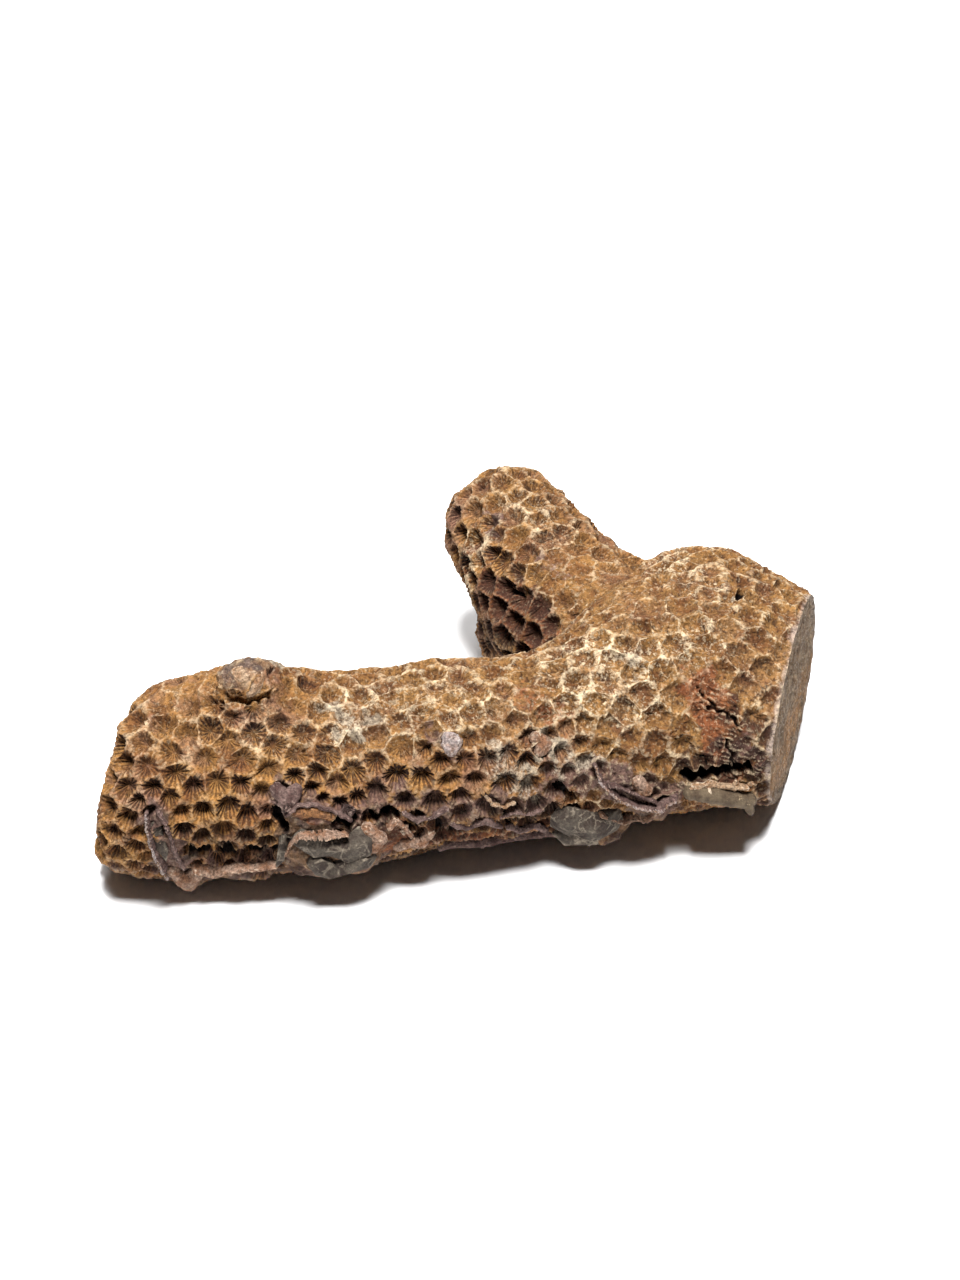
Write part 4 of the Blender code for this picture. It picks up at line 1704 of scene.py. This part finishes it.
class SharedGroups:
    """The node groups that the finishes share."""

    def all(self) -> dict[str, bpy.types.NodeTree]:
        """Every shared group by its short name."""
        return {"grain": self.grain(), "stain": self.stain(), "edge": self.edge()}

    def _start(self, name: str, takes: str, gives: str) -> tuple[Wiring, bpy.types.NodeOutputs]:
        """Starts a group with named sockets.

        Args:
            name: the group's name.
            takes: its inputs in order, each as Name:Kind.
            gives: its outputs in the same way.

        Returns:
            The group's wiring and its inputs, as sockets to wire from.
        """
        tree = bpy.data.node_groups.new(name, "ShaderNodeTree")
        for side, listed in (("INPUT", takes), ("OUTPUT", gives)):
            for entry in listed.split():
                socket, kind = entry.split(":")
                tree.interface.new_socket(socket, in_out=side, socket_type=f"NodeSocket{kind}")
        wires = Wiring(tree)
        return wires, wires.add("NodeGroupInput").outputs

    def grain(self) -> bpy.types.NodeTree:
        """Makes fine grains and pores.

        Returns:
            A group with a height, masks of bright specks and of pores, and a shade about 0.5.
        """
        gives = "Height:Float Specks:Float Pores:Float Shade:Float"
        wires, given = self._start("stone_grain", "Size:Float", gives)
        place = wires.object_place()
        scale = wires.over(1.0, given["Size"])

        def finer(times: float, detail: float, rough: float = 0.55) -> Socket:
            """Noise that is finer than the grain by a number of times."""
            return wires.noise(place, wires.product(scale, times), detail, rough)

        grains = wires.add("ShaderNodeTexVoronoi", {"Vector": place, "Scale": scale}).outputs["Distance"]
        height = wires.total(wires.product(grains, -0.5), finer(1.7, 4.0, 0.65))
        specks = wires.rise(finer(1.1, 2.0), 0.58, 0.66)
        pores = wires.rise(finer(0.9, 2.0), 0.33, 0.42, 1.0, 0.0)
        results = {"Height": height, "Specks": specks, "Pores": pores, "Shade": finer(0.75, 5.0, 0.75)}
        wires.add("NodeGroupOutput", results)
        return wires.tree

    def stain(self) -> bpy.types.NodeTree:
        """Makes uneven cloudy stains of one colour over another.

        Returns:
            A group with the stained colour.
        """
        takes = "Stone:Color Stain:Color Size:Float Amount:Float"
        wires, given = self._start("stone_stain", takes, "Colour:Color")
        cloud = wires.noise(wires.object_place(), wires.over(1.0, given["Size"]), 5.0, 0.6)
        share = wires.product(wires.rise(cloud, 0.38, 0.64), given["Amount"])
        wires.add("NodeGroupOutput", {"Colour": wires.mix(share, given["Stone"], given["Stain"])})
        return wires.tree

    def edge(self) -> bpy.types.NodeTree:
        """Makes pale wear on ridges and darkens the hollows, from the mesh's own crest layer.

        Returns:
            A group with the worn colour.
        """
        takes = "Stone:Color Wear:Color Dirt:Color Amount:Float Grime:Float"
        wires, given = self._start("stone_edge_wear", takes, "Colour:Color")
        crest = wires.shader_layer(Layer.CREST)
        broken = wires.rise(wires.noise(wires.object_place(), 1 / (1.4 * MM), 4.0, 0.6), 0.35, 0.6)
        worn = wires.product(wires.rise(crest, 0.04, 0.22), broken, given["Amount"])
        # Darker where the surface is hollow.
        recessed = wires.product(wires.rise(crest, -0.05, -0.25), given["Grime"])
        colour = wires.mix(recessed, given["Stone"], given["Dirt"])
        wires.add("NodeGroupOutput", {"Colour": wires.mix(worn, colour, given["Wear"])})
        return wires.tree


class Finish:
    """What every finish needs: the material with its wiring, and the shared groups to place in it."""

    specular = 0.22
    shades = (0.36, 0.64)

    def __init__(self, name: str, roughness: float, shared: dict[str, bpy.types.NodeTree]) -> None:
        """Starts the material.

        Args:
            name: the material's name.
            roughness: how rough it is all over.
            shared: the shared groups by their short names.
        """
        self.made = bpy.data.materials.new(name)
        self.made.use_nodes = True
        self.shared = shared
        self.wires = Wiring(self.made.node_tree)
        self.place = self.wires.object_place()
        self.shader = self.made.node_tree.nodes["Principled BSDF"]
        self.shader.inputs["Roughness"].default_value = roughness
        self.shader.inputs["Specular IOR Level"].default_value = self.specular

    def group(self, name: str, **inputs: object) -> bpy.types.NodeOutputs:
        """Places a shared group with its values or sockets by name, and gives its outputs."""
        return self.wires.add("ShaderNodeGroup", inputs, node_tree=self.shared[name]).outputs

    def stained(self, stone: Tone, stain: Tone, size: float, amount: float = 1.0) -> Socket:
        """A colour with cloudy stains of a size in millimetres."""
        return self.group("stain", Stone=stone, Stain=stain, Size=size * MM, Amount=amount)["Colour"]

    def noise(self, size: float, detail: float = 3.0, rough: float = 0.55) -> Socket:
        """Noise of a size in millimetres."""
        return self.wires.noise(self.place, 1 / (size * MM), detail, rough)

    def shaded(self, colour: Socket, shade: Socket, low: float, high: float) -> Socket:
        """Darkens and lightens a colour.

        Args:
            colour: the colour.
            shade: a number about 0.5.
            low: what multiplies the colour where the shade is low.
            high: what multiplies it where the shade is high.

        Returns:
            The shaded colour.
        """
        grey = self.wires.rise(shade, *self.shades, low, high)
        scaled = self.wires.add("ShaderNodeVectorMath", {0: colour, 3: grey}, operation="SCALE")
        return scaled.outputs[0]

    def close(self, colour: Socket, height: Socket, depth: float) -> bpy.types.Material:
        """Joins the colour and the bump to the shader.

        Args:
            colour: the finished colour.
            height: the height for the bump.
            depth: how deep the bump looks, in millimetres.

        Returns:
            The material.
        """
        self.wires.tree.links.new(colour, self.shader.inputs["Base Color"])
        bump = self.wires.add("ShaderNodeBump", {"Height": height, "Strength": 1.0, "Distance": depth * MM})
        self.wires.tree.links.new(bump.outputs[0], self.shader.inputs["Normal"])
        return self.made


class StoneMarks:
    """The numbers over the skin that several steps of its finish share.

    Ragged is how far out from a cup's middle a point lies, with a torn edge. Worn, bare and crested are
    shares of worn stone, of cup walls that nothing covers, and of wall tops that carry a pale crest.
    """

    def __init__(self, finish: Finish, grain_size: float, patch_size: float, lobe_size: float) -> None:
        """Reads the layers and wires the numbers. Sizes are in millimetres.

        Args:
            finish: the material that is being made.
            grain_size: the size of the grains.
            patch_size: the size of uneven patches.
            lobe_size: the size of the lobes that tear the cups' edges.
        """
        wires = self.wires = finish.wires
        self.finish = finish
        self.layer = {which: wires.shader_layer(which) for which in Layer}
        self.fine = finish.group("grain", Size=grain_size * MM)
        self.patchy = finish.noise(patch_size, 4.0, 0.6)
        self.fuzz = wires.less(self.fine["Shade"], 0.5)
        self.lobes = wires.less(finish.noise(lobe_size, 2.0), 0.5)
        fuzz, layer = self.fuzz, self.layer
        torn = wires.product(fuzz, 0.2), wires.product(self.lobes, 0.25)
        self.ragged = wires.total(layer[Layer.REACH], *torn)
        self.worn = wires.rise(wires.total(layer[Layer.WEAR], wires.product(fuzz, 0.5)), 0.1, 0.9)
        covered = wires.largest(layer[Layer.CRUST], layer[Layer.LINED], layer[Layer.BARE])
        self.bare = wires.product(wires.less(1.0, covered), wires.less(1.0, layer[Layer.RIM]))
        self.crested = wires.largest(wires.rise(layer[Layer.WEAR], 0.0, 0.8, 0.08, 0.5), layer[Layer.WEB])


@dataclass(frozen=True)
class StoneFinish:
    """The weathered skin: ochre walls with cream crests, dark starred grooves of painted shade in the cups,
    and crust.
    """

    wall: Tone = tone(146, 104, 55)
    wall_brown: Tone = tone(108, 68, 38)
    top: Tone = tone(130, 94, 52)
    top_brown: Tone = tone(94, 59, 30)
    crest: Tone = tone(194, 174, 143)
    # The groove tone is the painted shade of the grooves and under the cups' walls; it also darkens chips,
    # pores and hollows.
    groove: Tone = tone(42, 20, 9)
    # The heart tone is painted shade in the middles of open cups and in the deep holes.
    heart: Tone = tone(20, 10, 6)
    lilac: Tone = tone(122, 92, 80)
    crust: Tone = tone(112, 84, 60)
    crust_grey: Tone = tone(84, 68, 60)
    pale: Tone = tone(150, 138, 120)
    violet: Tone = tone(92, 70, 64)
    rust: Tone = tone(112, 63, 36)
    # Painted shade under the short branch and on the low front, over a stone that is darker there.
    soot: Tone = tone(44, 26, 20)
    rim: Tone = tone(158, 142, 130)
    grain_size: float = 0.5
    patch_size: float = 2.4
    lobe_size: float = 0.9
    drift_size: float = 6.0
    chip_size: float = 1.1
    grit_size: float = 0.8
    wall_stain: float = 4.5
    top_stain: float = 3.2
    crust_stain: float = 2.2
    stroke: float = 0.62
    bump: float = 0.28

    def material(self, shared: dict[str, bpy.types.NodeTree]) -> bpy.types.Material:
        """Builds the material.

        Args:
            shared: the shared groups by their short names.

        Returns:
            The material.
        """
        finish = Finish("weathered_coral_stone", 0.85, shared)
        marks = StoneMarks(finish, self.grain_size, self.patch_size, self.lobe_size)
        colour = self._ground(marks)
        for step in (self._grooves, self._hearts, self._crests, self._patches, self._wear):
            colour = step(marks, colour)
        return finish.close(colour, marks.fine["Height"], self.bump)

    def _ground(self, marks: StoneMarks) -> Socket:
        """Lays the plain stone: walls and worn tops, each stained, with a faint lilac drift.

        Args:
            marks: the shared numbers.

        Returns:
            The colour.
        """
        wires, finish = marks.wires, marks.finish
        walls = finish.stained(self.wall, self.wall_brown, self.wall_stain)
        tops = finish.stained(self.top, self.top_brown, self.top_stain)
        drift = wires.total(finish.noise(self.drift_size), wires.product(marks.fuzz, 0.2))
        drifted = wires.rise(drift, 0.5, 0.62, 0.0, 0.5)
        drift = wires.product(drifted, wires.rise(marks.worn, 0.0, 1.0, 1.0, 0.25))
        return wires.mix(drift, wires.mix(marks.worn, walls, tops), self.lilac)

    def _grooves(self, marks: StoneMarks, colour: Socket) -> Socket:
        """Paints shade into the star of grooves in each cup, darkest on its upper side, and paints shade under
        its upper wall.

        Args:
            marks: the shared numbers.
            colour: the colour so far.

        Returns:
            The new colour.
        """
        wires, layer, ragged, worn = marks.wires, marks.layer, marks.ragged, marks.worn
        # The strokes are painted shade in the grooves between the septa.
        outer = wires.rise(ragged, 0.82, 1.04, 1.0, 0.0)
        taper = wires.product(outer, wires.rise(ragged, 0.0, 0.55, 0.4, 1.0))
        bladed = wires.total(layer[Layer.RIB], wires.product(marks.fuzz, 0.5))
        stroke = wires.rise(wires.less(wires.product(taper, self.stroke), bladed), -0.1, 0.06)
        # Painted shade: the strokes are darker on the upper side of each cup, where its wall overhangs.
        painted_upper_shade = wires.rise(layer[Layer.SHELTER], -0.6, 0.4, 0.7, 1.0)
        colour = wires.mix(wires.product(stroke, self._fresh(marks), painted_upper_shade), colour, self.groove)
        # Painted shade under each cup's overhanging upper wall, in some cups more than others.
        chip = wires.total(layer[Layer.SHELTER], wires.product(marks.lobes, 1.6))
        toothed = wires.total(ragged, wires.product(layer[Layer.RIB], 0.35))
        painted_roof_shade = wires.product(wires.rise(chip, 0.1, 0.75), wires.rise(toothed, 0.92, 1.12, 0.85, 0.0))
        often = wires.total(layer[Layer.SHADE], wires.product(worn, -0.8))
        covered = wires.product(marks.bare, wires.rise(often, -1.0, 0.5, 0.1, 1.0))
        return wires.mix(wires.product(painted_roof_shade, covered), colour, self.groove)

    def _fresh(self, marks: StoneMarks) -> Socket:
        """Works out how fresh and open a cup is, which differs from cup to cup.

        Args:
            marks: the shared numbers.

        Returns:
            A share from 0 to 1.
        """
        wires = marks.wires
        vary = wires.total(marks.layer[Layer.SHADE], wires.product(marks.lobes, 1.5))
        vary = wires.rise(vary, -1.0, 0.8, 0.25, 1.0)
        return wires.product(marks.bare, vary, wires.rise(marks.worn, 0.0, 1.0, 1.0, 0.06))

    def _hearts(self, marks: StoneMarks, colour: Socket) -> Socket:
        """Fills some cups' middles with painted shade and some with pale stone, and chips the worn stone.

        Args:
            marks: the shared numbers.
            colour: the colour so far.

        Returns:
            The new colour.
        """
        wires, shade = marks.wires, marks.layer[Layer.SHADE]
        heart = wires.product(wires.rise(marks.ragged, 0.05, 0.3, 1.0, 0.0), self._fresh(marks))
        pale = wires.product(heart, wires.rise(shade, -0.1, -0.5), 0.8)
        colour = wires.mix(pale, colour, self.lilac)
        # Painted shade in the middles of some open cups.
        colour = wires.mix(wires.product(heart, wires.rise(shade, 0.2, 0.7)), colour, self.heart)
        chips = wires.rise(marks.finish.noise(self.chip_size, 3.0, 0.6), 0.6, 0.66, 0.0, 0.7)
        return wires.mix(wires.product(chips, marks.worn, marks.bare), colour, self.groove)

    def _crests(self, marks: StoneMarks, colour: Socket) -> Socket:
        """Draws the cream crests on the wall tops, broken and uneven in width, and crust over plain cells.

        Args:
            marks: the shared numbers.
            colour: the colour so far.

        Returns:
            The new colour.
        """
        wires, web = marks.wires, marks.layer[Layer.WEB]
        broken = wires.rise(wires.total(marks.patchy, wires.product(web, 0.08)), 0.46, 0.56)
        width = wires.total(marks.ragged, wires.product(wires.less(marks.patchy, 0.5), 0.3))
        line = wires.product(wires.rise(width, 0.92, 1.04), broken)
        grit = wires.rise(marks.finish.noise(self.grit_size, 4.0, 0.7), 0.5, 0.6)
        line = wires.largest(line, wires.product(grit, web, wires.rise(marks.patchy, 0.4, 0.54)))
        colour = wires.mix(wires.product(line, marks.crested), colour, self.crest)
        rough = marks.finish.stained(self.crust, self.crust_grey, self.crust_stain)
        return wires.mix(wires.rise(marks.layer[Layer.CRUST], 0.2, 0.9), colour, rough)

    def _patches(self, marks: StoneMarks, colour: Socket) -> Socket:
        """Lays the named tints over the skin, the painted shade kept off the wall tops, and the pale rim of
        the break.

        Args:
            marks: the shared numbers.
            colour: the colour so far.

        Returns:
            The new colour.
        """
        wires = marks.wires
        tints = {Layer.RUST: self.rust, Layer.VIOLET: self.violet,
                 Layer.PALE: self.pale, Layer.SOOT: self.soot}
        clouds = wires.less(marks.patchy, 0.5)
        for which, tint in tints.items():
            held = marks.layer[which]
            swing = wires.total(held, wires.product(clouds, 1.8), wires.product(marks.fuzz, 1.4))
            share = wires.product(wires.rise(swing, 0.4, 0.8), wires.rise(held, 0.0, 0.35), 0.8)
            # Painted shade: this layer's dark stays in the cups, off the wall tops.
            if which is Layer.SOOT:
                share = wires.product(share, wires.rise(marks.ragged, 0.8, 1.0, 1.0, 0.3))
            colour = wires.mix(share, colour, tint)
        edge = wires.total(marks.layer[Layer.RIM], marks.fuzz, wires.product(clouds, 2.0))
        return wires.mix(wires.rise(edge, 0.3, 1.1, 0.0, 0.7), colour, self.rim)

    def _wear(self, marks: StoneMarks, colour: Socket) -> Socket:
        """Wears the edges pale and darkens the hollows, shades the grain, darkens the pores, and paints shade
        into the deep holes.

        Args:
            marks: the shared numbers.
            colour: the colour so far.

        Returns:
            The new colour.
        """
        wires, finish, fine = marks.wires, marks.finish, marks.fine
        chipped = wires.rise(marks.crested, 0.1, 0.8, 0.2, 0.6)
        tones = {"Stone": colour, "Wear": self.crest, "Dirt": self.groove}
        colour = finish.group("edge", **tones, Amount=chipped, Grime=0.5)["Colour"]
        colour = finish.shaded(colour, fine["Shade"], 0.6, 1.42)
        specks = wires.rise(marks.crested, 0.0, 0.9, 0.08, 0.4)
        colour = wires.mix(wires.product(fine["Specks"], specks), colour, self.crest)
        colour = wires.mix(wires.product(fine["Pores"], 0.55), colour, self.groove)
        # Painted shade in the deep holes, darker with their depth.
        return wires.mix(wires.rise(marks.layer[Layer.HOLLOW], 0.5 * MM, 1.2 * MM), colour, self.heart)


@dataclass(frozen=True)
class CrustFinish:
    """Cemented crust: a stone with cloudy stains, veins, pale worn edges and darker hollows."""

    rock: Rock
    dirt: Tone = tone(36, 24, 20)
    grain_size: float = 0.3
    stain_size: float = 1.8
    vein_size: float = 1.9
    vein_width: float = 0.09
    bend_size: float = 1.2
    bend: float = 1.6
    gap_size: float = 2.0
    bump: float = 0.22

    def material(self, shared: dict[str, bpy.types.NodeTree]) -> bpy.types.Material:
        """Builds the material.

        Args:
            shared: the shared groups by their short names.

        Returns:
            The material.
        """
        finish = Finish(self.rock.name, 0.8, shared)
        wires = finish.wires
        fine = finish.group("grain", Size=self.grain_size * MM)
        colour = finish.stained(self.rock.stone, self.rock.stain, self.stain_size)
        tones = {"Stone": colour, "Wear": self.rock.wear, "Dirt": self.dirt}
        colour = finish.group("edge", **tones, Amount=0.8, Grime=0.9)["Colour"]
        colour = wires.mix(self._veins(finish), colour, self.rock.wear)
        coarse = self.rock.coarse()
        colour = finish.shaded(colour, fine["Shade"], 1 - 0.45 * coarse, 1 + 0.5 * coarse)
        colour = wires.mix(wires.product(fine["Pores"], 0.5 * coarse), colour, self.dirt)
        return finish.close(colour, fine["Height"], self.bump)

    def _veins(self, finish: Finish) -> Socket:
        """Thin bent veins with gaps in them.

        Args:
            finish: the material that is being made.

        Returns:
            The share of vein at each place.
        """
        wires, place = finish.wires, finish.place
        bend = wires.swing(place, self.bend_size * MM, self.bend * MM, 3.0)
        bent = wires.add("ShaderNodeVectorMath", {0: place, 1: bend}, operation="ADD").outputs[0]
        cells = {"Vector": bent, "Scale": 1 / (self.vein_size * MM)}
        vein = wires.add("ShaderNodeTexVoronoi", cells, feature="DISTANCE_TO_EDGE").outputs["Distance"]
        vein = wires.rise(vein, 0.0, self.vein_width, self.rock.veins, 0.0)
        return wires.product(vein, wires.rise(finish.noise(self.gap_size), 0.45, 0.55))


@dataclass(frozen=True)
class FractureFinish:
    """The broken stone: grey-brown grains, an ochre streak low down and a pale weathered rim."""

    stone: Tone = tone(124, 104, 82)
    dark: Tone = tone(92, 70, 50)
    streak: Tone = tone(132, 92, 50)
    rim: Tone = tone(130, 116, 104)
    speck: Tone = tone(214, 200, 178)
    streak_height: float = 9.0
    streak_reach: float = 7.0
    grain_size: float = 0.4
    stain_size: float = 1.8
    cloud_size: float = 4.0
    drawn_size: float = 1.2
    drawn_out: float = 0.3
    bump: float = 0.3

    def material(self, shared: dict[str, bpy.types.NodeTree]) -> bpy.types.Material:
        """Builds the material.

        Args:
            shared: the shared groups by their short names.

        Returns:
            The material.
        """
        finish = Finish("broken_stone", 0.85, shared)
        wires = finish.wires
        fine = finish.group("grain", Size=self.grain_size * MM)
        colour = finish.stained(self.stone, self.dark, self.stain_size, 0.9)
        height = wires.add("ShaderNodeSeparateXYZ", {"Vector": finish.place}).outputs["Z"]
        away = wires.maths("ABSOLUTE", wires.less(height, self.streak_height * MM))
        cloud = wires.rise(finish.noise(self.cloud_size), 0.35, 0.6)
        streak = wires.rise(away, MM, self.streak_reach * MM, 1.0, 0.0)
        colour = wires.mix(wires.product(streak, cloud), colour, self.streak)
        stretch = {"Vector": finish.place, "Scale": (1.0, 1.0, self.drawn_out)}
        drawn = wires.add("ShaderNodeMapping", stretch).outputs[0]
        colour = finish.shaded(colour, wires.noise(drawn, 1 / (self.drawn_size * MM)), 0.75, 1.25)
        edge = wires.total(wires.shader_layer(Layer.RIM), cloud)
        colour = wires.mix(wires.rise(edge, 0.6, 1.5, 0.0, 0.7), colour, self.rim)
        colour = finish.shaded(colour, fine["Shade"], 0.55, 1.4)
        colour = wires.mix(wires.product(fine["Specks"], 0.25), colour, self.speck)
        return finish.close(colour, fine["Height"], self.bump)


@dataclass(frozen=True)
class Lamp:
    """A square soft light that shines on the coral: its place and size in metres, and its power in watts."""

    name: str
    place: tuple[float, float, float]
    size: float
    power: float

    def hang(self) -> None:
        """Adds the light to the scene."""
        light = bpy.data.lights.new(self.name, "AREA")
        light.size = self.size
        light.energy = self.power
        aim(link(self.name, light), Vector(self.place), -Vector(self.place))


@dataclass(frozen=True)
class Studio:
    """A plain pale floor, soft light from above and from behind, and the camera."""

    view: View
    lamps: tuple[Lamp, ...] = (
        Lamp("key", (0.0, -0.22, 0.9), 0.24, 21.0),
        Lamp("behind", (-0.15, 0.35, 0.85), 0.5, 5.0),
    )
    floor_size: float = 4.0
    floor_tone: Tone = tone(250, 250, 250)
    floor_roughness: float = 0.9
    air_tone: Tone = tone(245, 246, 250)
    air_strength: float = 0.05
    nearest: float = 0.01

    def build(self) -> None:
        """Makes the floor, the lights, the world and the camera."""
        self._floor()
        for lamp in self.lamps:
            lamp.hang()
        world = bpy.data.worlds.new("studio")
        world.use_nodes = True
        world.node_tree.nodes["Background"].inputs["Color"].default_value = self.air_tone
        world.node_tree.nodes["Background"].inputs["Strength"].default_value = self.air_strength
        bpy.context.scene.world = world
        bpy.context.scene.view_settings.view_transform = "Standard"
        camera = bpy.data.cameras.new("camera")
        camera.lens = self.view.lens
        camera.sensor_width = self.view.sensor
        camera.clip_start = self.nearest
        holder = link("camera", camera)
        aim(holder, self.view.place(), -self.view.back())
        bpy.context.scene.camera = holder

    def _floor(self) -> None:
        """Makes a wide plain floor under the coral."""
        half = self.floor_size / 2
        corner_places = [(-half, -half, 0), (half, -half, 0), (half, half, 0), (-half, half, 0)]
        mesh = bpy.data.meshes.new("floor")
        mesh.from_pydata(corner_places, [], [(0, 1, 2, 3)])
        material = bpy.data.materials.new("floor")
        material.use_nodes = True
        shader = material.node_tree.nodes["Principled BSDF"]
        shader.inputs["Base Color"].default_value = self.floor_tone
        shader.inputs["Roughness"].default_value = self.floor_roughness
        mesh.materials.append(material)
        link("floor", mesh)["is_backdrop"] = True


def aim(holder: bpy.types.Object, place: Vector, way: Vector) -> None:
    """Puts a light or a camera in its place and turns it the way that it looks."""
    holder.location = place
    holder.rotation_euler = way.to_track_quat("-Z", "Y").to_euler()


def clear_scene() -> None:
    """Removes whatever the scene starts with."""
    for obj in list(bpy.data.objects):
        bpy.data.objects.remove(obj)


def corners(bounds: tuple[Vector, Vector]) -> list[list[float]]:
    """A box as plain lists of numbers."""
    return [list(bounds[0]), list(bounds[1])]


def main() -> None:
    """Builds the studio, the coral's skin and the crust on it, hands each piece over and measures the bounds.
    """
    logging.basicConfig(level=logging.INFO, format="%(name)s: %(message)s")
    clear_scene()
    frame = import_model()
    packed = corners(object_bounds())
    view = View()
    Studio(view).build()
    skin = CoralSkin()
    skin.read(frame["nodes"], frame["record"])
    skin.build()
    net = CellNet()
    net.share_out(skin)
    shared = SharedGroups().all()
    stone = StoneFinish().material(shared)
    fracture = FractureFinish().material(shared)
    polyps = Polyps(skin, net, view)
    finished = CupRelief().apply(polyps.surface(), stone)
    write_crest(finished)
    bm = bmesh.new()
    bm.from_mesh(finished)
    bpy.data.meshes.remove(finished)
    Parting().part(bm, [solid.name for solid in skin.solids], [stone, fracture])
    bm.free()
    rocks = (MATRIX, VIOLET, PALE, LILAC, BEIGE, OCHRE, SHELL)
    Crust(skin, polyps, view).build({rock.name: CrustFinish(rock).material(shared) for rock in rocks})
    {"packed": packed, "visual": corners(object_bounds())}


if __name__ == "__main__":
    main()
